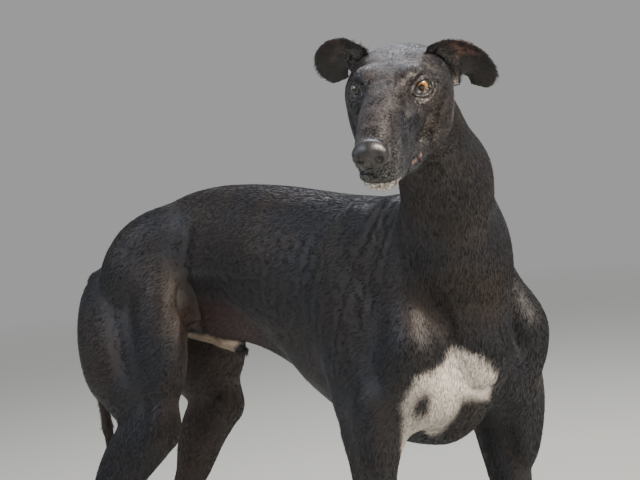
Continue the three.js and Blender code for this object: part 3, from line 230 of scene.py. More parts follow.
def read_stations(rows, xs):
    """Catmull-Rom curve through rows of stations, read at every x of xs."""
    rows = np.asarray(rows, float)
    i = np.clip(np.searchsorted(rows[:, 0], xs, side="left") - 1, 0, len(rows) - 2)
    p, q, r, s = rows[np.maximum(i - 1, 0)], rows[i], rows[i + 1], rows[np.minimum(i + 2, len(rows) - 1)]
    width = (r[:, 0] - q[:, 0])[:, None]
    t = np.clip((xs - q[:, 0]) / width[:, 0], 0, 1)[:, None]
    slope_q = (r - p) / (r[:, 0] - p[:, 0])[:, None] * width
    slope_r = (s - q) / (s[:, 0] - q[:, 0])[:, None] * width
    t2, t3 = t * t, t * t * t
    return (2 * t3 - 3 * t2 + 1) * q + (t3 - 2 * t2 + t) * slope_q + (3 * t2 - 2 * t3) * r + (t3 - t2) * slope_r


def hull(rows, blend, cap):
    first, last = rows[0][0], rows[-1][0]
    xs = np.arange(first, last + 2, 2.0)
    table = read_stations(rows, np.minimum(xs, last))
    zs = [r[1] for r in rows] + [r[2] for r in rows]
    middle = (min(zs) + max(zs)) / 2
    reach = np.linalg.norm([(last - first) / 2 + cap, max(zs) - middle, max(r[3] for r in rows)])

    def distance(p):
        in_x = np.clip(p[:, 0], first, last)
        top, bottom, half, wide, above, below = (np.interp(in_x, xs, table[:, k]) for k in range(1, 7))
        up = p[:, 2] > wide
        tall = np.where(up, top - wide, wide - bottom)
        power = np.where(up, above, below)
        q = np.abs(p[:, 1]) / half
        r = np.abs(p[:, 2] - wide) / tall
        over = np.abs(p[:, 0] - in_x) / cap
        rim = np.maximum((q**power + r**power + over**power) ** (1 / power), 1e-6)
        out = np.sqrt(p[:, 1] ** 2 + (p[:, 2] - wide) ** 2 + (p[:, 0] - in_x) ** 2)
        return out - out / rim

    return np.array([(first + last) / 2, 0, middle]), reach, blend, distance


def melt(pieces, points, carved=()):
    """Distance to several pieces melted together."""
    d = np.full(len(points), 1e3)
    for at, reach, blend, distance in pieces:
        least = np.linalg.norm(points - at, axis=1) - reach
        near = np.nonzero(least < 40)[0]
        far = least >= 40
        d[far] = np.minimum(d[far], least[far])
        d[near] = smooth_min(d[near], distance(points[near]), blend)
    for at, reach, blend, distance in carved:
        near = np.nonzero(np.linalg.norm(points - at, axis=1) - reach < 30)[0]
        d[near] = -smooth_min(-d[near], distance(points[near]), blend)
    return d


trunk = hull(
    [
        (-576, 610, 576, 28, 594, 2, 2),
        (-553, 630, 560, 44, 600, 2, 2),
        (-512, 659, 546, 58, 608, 2, 2),
        (-465, 690, 536, 65, 616, 2.1, 2),
        (-410, 718, 524, 64, 628, 2.2, 2),
        (-350, 729, 514, 63, 632, 2.3, 2),
        (-290, 729, 503, 72, 627, 2.2, 1.9),
        (-230, 724, 479, 84, 616, 2.1, 1.8),
        (-170, 716, 440, 92, 597, 2, 1.75),
        (-110, 708, 409, 95, 580, 2.1, 1.75),
        (-50, 704, 395, 94, 570, 2.1, 1.75),
        (10, 700, 393, 86, 560, 2.1, 1.8),
        (60, 676, 404, 74, 548, 2.1, 1.9),
        (100, 640, 436, 58, 537, 2, 2),
        (122, 606, 474, 42, 535, 2, 2),
    ],
    20,
    22,
)


def foreleg(s, dx, track):
    y = s * track
    arm = track - 90
    side = (0, s, 0)
    carpus = (4 + dx, y - s, CARPUS)
    knuckle = (20 + dx, y + s, 54)
    return [
        muscle((12, s * 30, 694), (88, s * (80 + arm), 545), 30, 34, side=side, blend=26),
        muscle((-40, s * 44, 684), (60, s * (89 + arm), 515), 27, 38, side=side, blend=26),
        muscle(
            (-58, s * 62, 640), (-34 + dx * 0.5, s * (90 + arm), 425), 28, 42, side=side, blend=20, reach=1.15
        ),
        muscle((-20, s * 76, 600), (24 + dx * 0.4, s * (95 + arm), 415), 29, 48, side=side, blend=22),
        muscle((96, s * (80 + arm), 530), (4 + dx * 0.5, s * (90 + arm), 410), 30, 36, side=side, blend=26),
        ball((86, s * (78 + arm), 528), (30, 27, 42), 28),
        muscle((104, s * 20, 505), (58, s * (70 + arm), 446), 29, 36, side=side, blend=30),
        muscle(
            (32 + dx * 0.6, y + s * 22, 482), (20 + dx * 0.9, y + s * 5, 345), 23, 24, side=side, blend=24, reach=1.05
        ),
        limb((-8 + dx * 0.5, y, ELBOW), (dx * 0.9, y, 300), 31, 24, flat=0.86, blend=16),
        limb((dx * 0.9, y, 300), carpus, 24, 15.5, flat=0.86, blend=12),
        muscle((6 + dx * 0.6, y + s * 7, 402), (10 + dx * 0.9, y + s * 3, 262), 17, 21, side=side, blend=10),
        limb((-38 + dx * 0.5, y, ELBOW + 12), (-20 + dx * 0.8, y, 330), 14, 12),
        ball((carpus[0] + 1, carpus[1], CARPUS + 2), (17.5, 17.5, 22), 10),
        limb(
            (carpus[0] - 15, carpus[1], CARPUS - 8), (carpus[0] - 12, carpus[1], CARPUS - 22), 7, 6, blend=8
        ),
        limb((carpus[0] + 1, carpus[1], CARPUS - 8), knuckle, 14.5, 14.5, flat=1.12, blend=10),
    ]


def hindleg(s, track, knee, heel):
    y = s * track
    side = (0, s, 0)
    back = (knee - HIND[1][2]) * 0.6
    hock = (heel, y - s * 2, HOCK)
    return [
        muscle((-404, s * 38, 690), (-505, s * 64, 618), 32, 40, side=side, blend=24),
        muscle(
            (-428, s * 52, 645), (knee + 4, y - s * 4, STIFLE + 30), 36, 46, side=side, blend=22, reach=1.12
        ),
        muscle(
            (-525, s * 50, 615),
            (-487 + back, y - s * 2, STIFLE + 14),
            38,
            54,
            side=side,
            blend=22,
            reach=1.12,
        ),
        muscle(
            (-556, s * 44, 598),
            (-536 + back, y - s * 10, STIFLE + 44),
            31,
            30,
            side=side,
            blend=22,
            reach=1.15,
        ),
        muscle((-480, s * 44, 590), (-460 + back, y - s * 14, STIFLE + 20), 34, 60, side=side, blend=22),
        ball((-478, s * 68, 610), (34, 20, 34), 24),
        ball((knee + 2, y - s * 2, STIFLE + 6), (24, 25, 33), 18),
        muscle((knee - 34, y, STIFLE + 14), (heel + 52, y - s, 275), 25, 34, side=side, blend=18, reach=1.15),
        limb((knee - 6, y, STIFLE - 12), (heel + 12, y - s, HOCK + 22), 28, 14, flat=0.86, blend=14),
        limb((heel + 60, y, 300), (heel - 24, hock[1], HOCK + 18), 14, 7.5, blend=12),
        limb((heel - 26, hock[1], HOCK + 16), (heel - 6, hock[1], HOCK - 30), 11, 12, blend=10),
        ball((heel + 2, hock[1], HOCK), (19, 17, 22), 10),
        limb((heel, hock[1], HOCK - 12), (heel + 8, y + s, 54), 15, 13.5, flat=1.02, blend=10),
    ]


TOES = ((-1.5, 38, 26, 0.92), (-0.52, 52, 31, 1), (0.52, 52, 31, 1), (1.5, 38, 26, 0.92))


def paw(x, y, size):
    pieces = [
        limb((x, y, 52), (x + 14, y, 34), 15 * size, 15 * size, flat=1.2, blend=10),
        ball((x + 14 * size, y, 12.2), (17 * size, 17 * size, 14), 8),
    ]
    for spread, length, arch, thick in TOES:
        out = spread * 12.6 * size
        root = (x + 12, y + out * 0.72, 34)
        crown = (x + length * 0.66 * size, y + out, arch * 0.86)
        tip = (x + length * 1.08 * size, y + out * 1.04, 12)
        pieces += [
            limb(root, crown, 10 * size * thick, 9.4 * size * thick, blend=4),
            limb(crown, tip, 9.4 * size * thick, 8 * size * thick, blend=3),
            ball((tip[0] - 5, tip[1], 7.5), (10 * size, 7.6 * size, 9), 4),
        ]
    return pieces


FORE_PAWS = [(22 + dx, s * (track + 1), 1.0) for s, dx, track in FORE]
HIND_PAWS = [(heel + 10, s * (track + 1), 0.96) for s, track, knee, heel in HIND]
tail_bones = [
    limb((-552, 0, 616), (-588, 0, 600), 20, 17, blend=16),
    limb((-588, 0, 600), (-606, 0, 556), 17, 14, blend=6),
    limb((-606, 0, 556), (-611, 0, 470), 14, 11, blend=6),
    limb((-611, 0, 470), (-606, 0, 380), 11, 8.5, blend=6),
    limb((-606, 0, 380), (-600, 0, 300), 8.5, 6, blend=6),
    limb((-600, 0, 300), (-606, 0, 236), 6, 3.6, blend=6),
]
sheath = [
    limb((-430, 0, 530), (-366, 0, 514), 15, 13, blend=16),
    limb((-366, 0, 514), (-334, 0, 497), 12, 9, blend=10),
]
front_pieces = [p for leg in FORE for p in foreleg(*leg)] + [trunk]
rear_pieces = [trunk] + [p for leg in HIND for p in hindleg(*leg)] + sheath + tail_bones
fore_paws = [p for at in FORE_PAWS for p in paw(*at)]
hind_paws = [p for at in HIND_PAWS for p in paw(*at)]


def unbend(p):
    """From where the dog stands to the straight dog's frame."""
    q = p.copy()
    x, y = p[:, 0], p[:, 1]
    turn = np.arctan2(-x, y + BEND_RADIUS)
    arc = (x < 0) & (turn < SPINE_BEND)
    q[arc, 0] = -turn[arc] * BEND_RADIUS
    q[arc, 1] = np.hypot(x[arc], y[arc] + BEND_RADIUS) - BEND_RADIUS
    rear = (x < 0) & (turn >= SPINE_BEND)
    dx = x[rear] + BEND_RADIUS * math.sin(SPINE_BEND)
    dy = y[rear] + BEND_RADIUS * (1 - math.cos(SPINE_BEND))
    q[rear, 0] = PELVIS_AT + dx * math.cos(SPINE_BEND) + dy * math.sin(SPINE_BEND)
    q[rear, 1] = -dx * math.sin(SPINE_BEND) + dy * math.cos(SPINE_BEND)
    return q


def straight_body(q):
    d = np.full(len(q), 1e3)
    x, z = q[:, 0], q[:, 2]
    front, rear = x > -300, x < -220
    d_front, d_rear = d.copy(), d.copy()
    d_front[front] = melt(front_pieces, q[front])
    d_rear[rear] = melt(rear_pieces, q[rear])
    mix = np.clip((x + 300) / 80, 0, 1)
    d = np.where(mix >= 1, d_front, np.where(mix <= 0, d_rear, d_rear * (1 - mix) + d_front * mix))
    low = z < 90
    for pieces, here in ((fore_paws, low & (x > -260)), (hind_paws, low & (x <= -260))):
        if here.any():
            d[here] = smooth_min(d[here], melt(pieces, q[here]), 8)
    return d


cy, sy = math.cos(HEAD_TURN[0]), math.sin(HEAD_TURN[0])
cp, sp = math.cos(HEAD_TURN[1]), math.sin(HEAD_TURN[1])
cr, sr = math.cos(HEAD_TURN[2]), math.sin(HEAD_TURN[2])
HEAD_AXES = (
    np.array([[cy, -sy, 0], [sy, cy, 0], [0, 0, 1]])
    @ np.array([[cp, 0, sp], [0, 1, 0], [-sp, 0, cp]])
    @ np.array([[1, 0, 0], [0, cr, -sr], [0, sr, cr]])
)


def into_head(p):
    return (p - HEAD_AT) @ HEAD_AXES


def from_head(q):
    return np.asarray(q, float) @ HEAD_AXES.T + HEAD_AT


head_hull = hull(
    [
        (-112, 4, -38, 30, -14, 2, 2),
        (-92, 14, -56, 42, -16, 2.1, 2.2),
        (-66, 20, -66, 49, -18, 2.3, 2.4),
        (-38, 22, -66, 50, -20, 2.4, 2.5),
        (-12, 21, -60, 42, -19, 2.4, 2.5),
        (10, 18, -53, 32.5, -17, 2.4, 2.5),
        (34, 13, -48, 26, -18, 2.4, 2.5),
        (62, 6, -46, 22.5, -21, 2.4, 2.6),
        (90, -2, -44, 20, -24, 2.3, 2.6),
        (106, -8, -42, 16.5, -25, 2.3, 2.5),
    ],
    10,
    9,
)


def head_side(s):
    side = (0, s, 0)
    return [
        muscle((-64, s * 38, -10), (0, s * 36, -14), 14, 14, side=side, blend=14),
        muscle((-72, s * 38, -31), (0, s * 32, -53), 17, 28, side=side, blend=20),
        muscle((-92, s * 22, -6), (-34, s * 24, 5), 20, 17, side=side, blend=16),
        muscle((-20, s * 27, 12), (10, s * 21, 13), 10, 9, side=side, blend=12),
        ball((EYE_AT[0], s * EYE_AT[1], EYE_AT[2]), (12.9, 12.9, 12.9), 7),
        muscle((-4, s * 30, -16), (44, s * 21, -24), 9, 14, side=side, blend=14),
        muscle((20, s * 21, -38), (100, s * 14, -40), 9.5, 17.5, side=side, blend=10),
        ball((109, s * 9.5, -25), (10.5, 9.5, 10.5), 6),
        ball((102, s * 8, -43), (9, 10, 13), 8),
        limb((-48, s * 31, -60), (30, s * 17, -65), 17, 12.5),
        limb((30, s * 17, -64), (86, s * 9, -61), 12, 9.5, blend=10),
    ]


head_pieces = (
    [head_hull]
    + head_side(1)
    + head_side(-1)
    + [
        ball((-58, 0, -50), (46, 30, 24), 20),
        ball((85, 0, -62), (13, 16, 9.5), 10),
        limb((14, 0, -60), (84, 0, -60), 13, 9, blend=10),
        ball((111, 0, -19), (11, 11, 9.5), 6),
    ]
)
head_hollows = [
    muscle((-6, 0, 34), (26, 0, 27), 9, 6, blend=12),
    muscle((10, 33, 0), (32, 29, -4), 5, 7, blend=12),
    muscle((10, -33, 0), (32, -29, -4), 5, 7, blend=12),
]
NECK_SIDE = (-math.sin(HEAD_TURN[0] / 2), math.cos(HEAD_TURN[0] / 2), 0)
neck_pieces = [
    limb((14, 4, 606), (92, -10, 636), 88, 76, flat=0.86, blend=28),
    limb((92, -10, 636), (150, -56, 728), 71, 56, flat=0.88, blend=28, side=NECK_SIDE),
    limb((150, -56, 728), from_head((-96, 0, -27)), 54, 39, flat=0.9, blend=20, side=NECK_SIDE),
    limb((120, 0, 600), (132, 0, 530), 40, 24, flat=0.9, blend=26),
]


def flesh(p):
    """Distance in millimetres from each point to the outside of the dog, in its standing frame."""
    d = straight_body(unbend(p))
    upper = (p[:, 0] > -120) & (p[:, 2] > 440)
    q = p[upper]
    e = smooth_min(d[upper], melt(neck_pieces, q), 30)
    d[upper] = smooth_min(e, melt(head_pieces, into_head(q), head_hollows), 14)
    return d


def step(low, high, x):
    t = np.clip((x - low) / (high - low), 0, 1)
    return t * t * (3 - 2 * t)


def bell(x, width):
    return np.exp(-((x / width) ** 2))


def path_at(rows, z):
    """The x of a line drawn down the side of the body, at the height z. rows go downwards."""
    rows = np.asarray(rows, float)[::-1]
    return np.interp(z, rows[:, 1], rows[:, 0])


# Relief of the body: what shows through a thin coat. Each line is x and z in the straight dog's frame.
SHOULDER_EDGE = ((26, 704), (30, 669), (18, 635), (4, 595), (-15, 550), (-27, 499))
SHOULDER_SPINE = ((68, 700), (56, 653), (43, 618), (32, 589), (22, 560))
FLANK_FOLD = ((-394, 606), (-356, 600), (-317, 587), (-234, 574), (-185, 562), (-150, 520), (-120, 470))
JUGULAR = ((109, 706), (110, 636), (112, 576), (122, 535))
THIGH_FRONT = ((-352, 690), (-364, 648), (-372, 600), (-384, 560), (-392, 500))
THIGH_FURROW = ((-492, 580), (-486, 540), (-476, 500), (-466, 450))
RIB_PITCH = 23.0


def body_relief(u):
    """How far the surface is pushed in, in millimetres, at points u in the straight dog's frame."""
    x, y, z = u.T
    side = np.abs(y)
    lift = np.zeros(len(u))
    phase = (x - 0.36 * (z - 560)) / RIB_PITCH
    ribs = step(-262, -215, x) * (1 - step(-60, -25, x)) * step(480, 540, z) * (1 - step(640, 676, z))
    uneven = 0.6 + 0.4 * np.sin(x * 0.05 + z * 0.03)
    lift -= 0.8 * ribs * step(45, 70, side) * np.cos(2 * np.pi * phase) * uneven
    on_side = step(30, 50, side)
    for line, low, high, height, width in (
        (SHOULDER_EDGE, 500, 700, 2.0, 4.0),
        (SHOULDER_SPINE, 565, 700, 1.6, 4.0),
    ):
        here = step(low - 15, low + 15, z) * (1 - step(high - 15, high + 10, z)) * on_side
        off = x - path_at(line, z)
        lift -= height * here * bell(off, width)
        lift += 1.7 * here * bell(off + 11, 7)
        lift += 0.9 * here * bell(off - 9, 5)
    off = x - path_at(JUGULAR, z)
    lift += 2.2 * step(525, 560, z) * (1 - step(690, 720, z)) * step(35, 50, side) * bell(off, 12)
    off = x - path_at(THIGH_FRONT, z)
    lift += 4.0 * step(480, 540, z) * (1 - step(650, 700, z)) * step(30, 45, side) * bell(off + 2, 9)
    fold = np.interp(x, *np.asarray(FLANK_FOLD, float)[::-1].T)
    under = step(-2, 24, fold - z) * step(-398, -380, x) * (1 - step(-230, -170, x))
    lift += 8.0 * under * step(12, 30, side) * (1 - step(58, 72, side))
    off = x - path_at(THIGH_FURROW, z)
    lift += 4.5 * step(455, 500, z) * (1 - step(550, 590, z)) * step(70, 90, side) * bell(off, 11)
    lift -= 2.2 * bell(z - fold - 5, 6) * step(-398, -370, x) * (1 - step(-220, -160, x)) * step(30, 50, side)
    # Furrow between the two halves of the chest, and tendons on the hind legs.
    lift += 3.0 * bell(y, 5) * step(95, 115, x) * step(410, 450, z) * (1 - step(520, 560, z))
    tendon = step(240, 262, z) * (1 - step(300, 330, z)) * bell(x + 552, 8)
    lift += 2.4 * tendon * bell(side - 84, 60)
    return lift


# Relief of the head, in its own frame.
LID_CURVE = 14.0
LID_OPEN = 6.0
LID_TILT = math.radians(10)


def eye_axes(s):
    gaze = np.array([math.cos(EYE_TURN), s * math.sin(EYE_TURN), 0])
    up = np.array([0, 0, 1.0])
    side = np.cross(gaze, up)
    turned = up * math.cos(LID_TILT) + np.cross(gaze, up) * math.sin(s * LID_TILT)
    return np.array([EYE_AT[0], s * EYE_AT[1], EYE_AT[2]]), gaze, turned, np.cross(gaze, turned)


def lids(h, s):
    """Place beside one eye: distance outside the opening, depth along the gaze, height, distance from the centre."""
    at, gaze, up, side = eye_axes(s)
    e = h - at
    across, height, along = e @ side, e @ up, e @ gaze
    upper = np.hypot(across, height + (LID_CURVE - LID_OPEN)) - LID_CURVE
    lower = np.hypot(across, height - (LID_CURVE - LID_OPEN)) - LID_CURVE
    return np.maximum(upper, lower), along, height, np.linalg.norm(e, axis=1), across


MOUTH_CORNER = (31, -60)
MOUTH_FRONT = (94, -57)


def mouth_height(x):
    t = np.clip((x - MOUTH_CORNER[0]) / (MOUTH_FRONT[0] - MOUTH_CORNER[0]), 0, 1)
    return MOUTH_CORNER[1] + (MOUTH_FRONT[1] - MOUTH_CORNER[1]) * t - 1.6 * np.sin(np.pi * t)


NOSTRILS = [
    muscle((108, s * 8.0, -24.5), (127, s * 10.2, -26), 3.9, 3.6, reach=1, blend=1.2) for s in (1, -1)
]
NOSTRIL_SLITS = [
    muscle((115, s * 10, -26.5), (106, s * 20.5, -22), 1.5, 4.8, side=(0, 0, 1), reach=1, blend=1.4) for s in (
        1, -1
    )
]


def head_relief(h):
    x, y, z = h.T
    side = np.abs(y)
    lift = np.zeros(len(h))
    for s in (1, -1):
        out, along, height, away, across = lids(h, s)
        near = step(-2, 3, along) * (1 - step(20, 26, away))
        lift -= near * 1.0 * bell(out - 1.4, 1.3)
        lift += near * np.where(height > 0, 1.2, 0.5) * bell(out - np.where(height > 0, 5.2, 5.0), 1.3)
        lift -= near * np.where(height > 0, 0.8, 0.2) * bell(out - 8.5, 2.2)
        lift += near * 0.3 * bell(out - 10.5, 1.4) * (height < 0)
    line = mouth_height(x)
    front = step(MOUTH_CORNER[0] - 4, MOUTH_CORNER[0] + 4, x)
    lift += 2.6 * front * bell(z - line, 0.95)
    lift -= 1.1 * front * bell(z - line - 4.5, 2.8)
    lift += 1.8 * front * (1 - step(-3.0, -0.5, z - line)) * step(-22, -10, z - line) * step(58, 80, x)
    # Fold of the lip behind the corner of the mouth.
    lift += 1.2 * bell(z - (MOUTH_CORNER[1] - 3 - 0.9 * (34 - x)), 1.6) * step(20, 26, x) * (
        1 - step(32, 36, x)
    )
    # Groove under the nose, and rim of the nose leather.
    lift += 2.2 * bell(y, 0.9) * step(106, 112, x) * (1 - step(-26, -22, z)) * step(-50, -46, z)
    rim = nose_distance(h)
    lift += 0.8 * bell(rim, 0.9) * step(98, 104, x)
    # Rows of small lumps that carry the whiskers.
    rows = np.cos((z + 0.25 * x) * 2 * np.pi / 6.0) * np.cos(x * 2 * np.pi / 6.5)
    lift -= 0.35 * np.maximum(rows, 0) * step(58, 70, x) * (1 - step(98, 104, x)) * step(-46, -42, z) * (
        1 - step(-22, -16, z)
    )
    # Vein and sinew down the side of the muzzle, hollow of the temple.
    lift -= 0.9 * bell(z + 12 + 0.15 * (x - 30), 2.2) * step(14, 26, x) * (1 - step(52, 64, x)) * step(
        14, 18, side
    )
    return lift


def nose_distance(h):
    """Roughly the distance outside the edge of the nose leather."""
    x, y, z = h.T
    q = np.sqrt(((x - 120) / 19.5) ** 2 + (y / 21.5) ** 2 + ((z + 22) / 16) ** 2)
    return (q - 1) * 13


def carved(h):
    """Openings of the eyes and the nostrils, as one distance that is negative inside them."""
    d = np.full(len(h), 50.0)
    for s in (1, -1):
        out, along, height, away, across = lids(h, s)
        d = np.minimum(d, np.maximum(np.maximum(out, 9.4 - away), -along))
    for piece in NOSTRILS + NOSTRIL_SLITS:
        d = smooth_min(d, piece[3](h), 1.0)
    return d


COAT_DEPTH = 1.6  # the skin lies this far inside the outside of the coat


def skin_shape(p):
    """Distance to the skin with its relief and openings, in the standing frame."""
    d = flesh(p) + body_relief(unbend(p))
    upper = (p[:, 0] > 60) & (p[:, 2] > 640)
    h = into_head(p[upper])
    face = (h[:, 0] > -60) & (np.abs(h[:, 1]) < 70) & (h[:, 0] < 135)
    e = d[upper]
    g = h[face]
    bare = step(-3, 2, nose_distance(g))
    e_face = e[face] + head_relief(g) - COAT_DEPTH * (1 - bare)
    hole = carved(g)
    e_face = -smooth_min(-(e_face + COAT_DEPTH), hole, 1.6) - COAT_DEPTH
    e[face] = e_face
    d[upper] = e
    return d + COAT_DEPTH


# Skin: the dog's hide, one closed sheet over muscle and bone, grown onto both. It starts from the solids of the
# flesh, swollen a hair's breadth into each other, and settles on their shape with its own relief.
# Its look is the short black coat seen from close by; the tufts of the coat stand in it.
SKIN_CELL = 0.002  # metres
SWELL = 0.0004
FLESH = sorted(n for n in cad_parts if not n.startswith("eye"))
bpy.ops.object.select_all(action="DESELECT")
parts = []
for name in FLESH:
    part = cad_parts[name].copy()
    part.data = part.data.copy()
    part.parent = None
    bpy.context.collection.objects.link(part)
    part.hide_render = part.hide_viewport = False
    for key in list(part.keys()):
        del part[key]
    parts.append(part)
FILLERS = (
    ((40, 0, -46), (54, 18, 16)),
    ((86, 0, -46), (20, 14, 16)),
    (EYE_AT, (12.2,) * 3),
    ((EYE_AT[0], -EYE_AT[1], EYE_AT[2]), (12.2,) * 3),
)
for at, radii in FILLERS:
    bpy.ops.mesh.primitive_ico_sphere_add(subdivisions=4, radius=1)
    filler = bpy.context.object
    co = np.empty(len(filler.data.vertices) * 3)
    filler.data.vertices.foreach_get("co", co)
    co = (from_head(co.reshape(-1, 3) * radii + at) + CENTRE) / 1000
    filler.data.vertices.foreach_set("co", co.ravel())
    parts.append(filler)
bpy.ops.object.select_all(action="DESELECT")
for part in parts:
    part.select_set(True)
bpy.context.view_layer.objects.active = parts[0]
bpy.ops.object.join()
skin = bpy.context.object
skin.name = "skin"
skin.data.materials.clear()
bpy.ops.object.mode_set(mode="EDIT")
bpy.ops.mesh.select_all(action="SELECT")
bpy.ops.mesh.remove_doubles(threshold=2e-5)
bpy.ops.transform.shrink_fatten(value=SWELL)
bpy.ops.object.mode_set(mode="OBJECT")
skin.data.remesh_voxel_size = SKIN_CELL
skin.data.remesh_voxel_adaptivity = 0
bpy.ops.object.voxel_remesh()


def points_of(mesh):
    co = np.empty(len(mesh.vertices) * 3)
    mesh.vertices.foreach_get("co", co)
    return co.reshape(-1, 3)


def set_points(mesh, co):
    mesh.vertices.foreach_set("co", np.ascontiguousarray(co, float).ravel())
    mesh.update()


def select_vertices(obj, chosen):
    """Leaves exactly these vertices selected, in edit mode."""
    bpy.ops.object.mode_set(mode="EDIT")
    bpy.ops.mesh.select_mode(type="VERT")
    bpy.ops.mesh.select_all(action="DESELECT")
    bpy.ops.object.mode_set(mode="OBJECT")
    obj.data.vertices.foreach_set("select", chosen)
    bpy.ops.object.mode_set(mode="EDIT")


FOOT_TOP = 66  # height of the top of the paws
BODY_SHARE = 0.12  # share of the faces kept on the body, and on the head and the paws
HEAD_SHARE = 0.45


def in_head_box(h):
    return (h[:, 0] > -104) & (h[:, 0] < 140) & (np.abs(h[:, 1]) < 110) & (h[:, 2] > -110)


def from_eyes(h):
    """Distance to the nearer eye's front, in the head's frame."""
    return np.minimum(np.linalg.norm(h - (1, 33, 0), axis=1), np.linalg.norm(h - (1, -33, 0), axis=1))


# Coarser where the body is plain and finer on the face.
mm = points_of(skin.data) * 1000 - CENTRE
plain = ~in_head_box(into_head(mm)) & (mm[:, 2] > FOOT_TOP)
select_vertices(skin, plain)
bpy.ops.mesh.decimate(ratio=BODY_SHARE)
bpy.ops.object.mode_set(mode="OBJECT")


def detailed_parts():
    """Which points of the skin are near an eye or on the muzzle, and which are elsewhere on the head or on a paw."""
    mm = points_of(skin.data) * 1000 - CENTRE
    h = into_head(mm)
    muzzle = (h[:, 0] > 42) & (h[:, 0] < 140) & (np.abs(h[:, 1]) < 60) & (h[:, 2] > -76)
    fine = (from_eyes(h) < 22) | muzzle
    return fine, (in_head_box(h) | (mm[:, 2] < FOOT_TOP)) & ~fine


select_vertices(skin, detailed_parts()[1])
bpy.ops.mesh.decimate(ratio=HEAD_SHARE)
bpy.ops.object.mode_set(mode="OBJECT")
select_vertices(skin, detailed_parts()[0])
bpy.ops.mesh.subdivide(number_cuts=1)
bpy.ops.mesh.select_all(action="SELECT")
bpy.ops.mesh.quads_convert_to_tris()
bpy.ops.object.mode_set(mode="OBJECT")


def edges_of(mesh):
    e = np.empty(len(mesh.edges) * 2, np.int32)
    mesh.edges.foreach_get("vertices", e)
    return e.reshape(-1, 2)


def relax(co, edges, amount, times):
    """Each point moves towards the middle of its neighbours."""
    n = len(co)
    count = np.bincount(edges.ravel(), minlength=n)[:, None]
    for _ in range(times):
        total = np.stack(
            [
                np.bincount(edges[:, 0], co[edges[:, 1], k], n) + np.bincount(
                    edges[:, 1], co[edges[:, 0], k], n
                )
                for k in range(3)
            ],
            1,
        )
        co = co + (total / np.maximum(count, 1) - co) * amount
    return co


def settle(co, shape, hold, times, most=2.5):
    """Pulls points onto the shape's zero surface. hold is the share of the move that each point makes."""
    small = 0.3
    for _ in range(times):
        f = shape(co)
        g = np.stack([shape(co + small * np.eye(3)[k]) - f for k in range(3)], 1) / small
        size = np.maximum((g * g).sum(1), 0.25)
        push = np.clip(f / size, -most, most) * hold
        co = co - g * push[:, None]
    return co


mm = points_of(skin.data) * 1000 - CENTRE
edges = edges_of(skin.data)
in_head = into_head(mm)
earish = (np.abs(in_head[:, 1]) > 30) & (in_head[:, 0] > -130) & (in_head[:, 0] < -20) & (in_head[:, 2] > -50)
loose = np.where(earish, np.clip((np.abs(flesh(mm)) - 3.0) / 3, 0, 1), 0.0)  # 1 on the ears' flaps
mm = relax(mm, edges, np.where(loose > 0, 0.3, 0.5)[:, None], 3)
mm = settle(mm, flesh, 1 - loose, 2, 6)
mm = relax(mm, edges, 0.3 * (1 - loose)[:, None], 3)
mm = settle(mm, skin_shape, 1 - loose, 4)
mm = relax(mm, edges, 0.25 * (1 - loose)[:, None], 1)
mm = settle(mm, skin_shape, 1 - loose, 2, 1.0)
mm[:, 2] = np.maximum(mm[:, 2], 0.0)
set_points(skin.data, (mm + CENTRE) / 1000)
for polygon in skin.data.polygons:
    polygon.use_smooth = True
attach(skin, "root")
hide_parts(*FLESH)


# What each point of the skin is, in millimetres of distance to the edge of each marking. The shader frays the edges.
WHITE_OUTLINE = (
    (-43, 531), (-20, 514), (6, 490), (12, 458), (-14, 463), (-34, 470), (-32, 446),
    (-28, 408), (-52, 392), (-80, 404), (-97, 470), (-92, 503), (-72, 508), (-56, 514),
)


def outline_distance(points, outline):
    """Signed distance from 2-D points to a closed outline, negative inside."""
    nearest = np.full(len(points), 1e9)
    inside = np.zeros(len(points), bool)
    for a, b in zip(outline, outline[1:] + outline[:1]):
        a, b = np.asarray(a, float), np.asarray(b, float)
        t = np.clip((points - a) @ (b - a) / ((b - a) @ (b - a)), 0, 1)[:, None]
        nearest = np.minimum(nearest, np.linalg.norm(points - a - t * (b - a), axis=1))
        crosses = (a[1] > points[:, 1]) != (b[1] > points[:, 1])
        rise = np.where(b[1] == a[1], 1e-9, b[1] - a[1])
        inside ^= crosses & (points[:, 0] < (b[0] - a[0]) * (points[:, 1] - a[1]) / rise + a[0])
    return np.where(inside, -nearest, nearest)


def spot(points, at, radii):
    q = (points - at) / radii
    return (np.linalg.norm(q, axis=1) - 1) * min(radii)


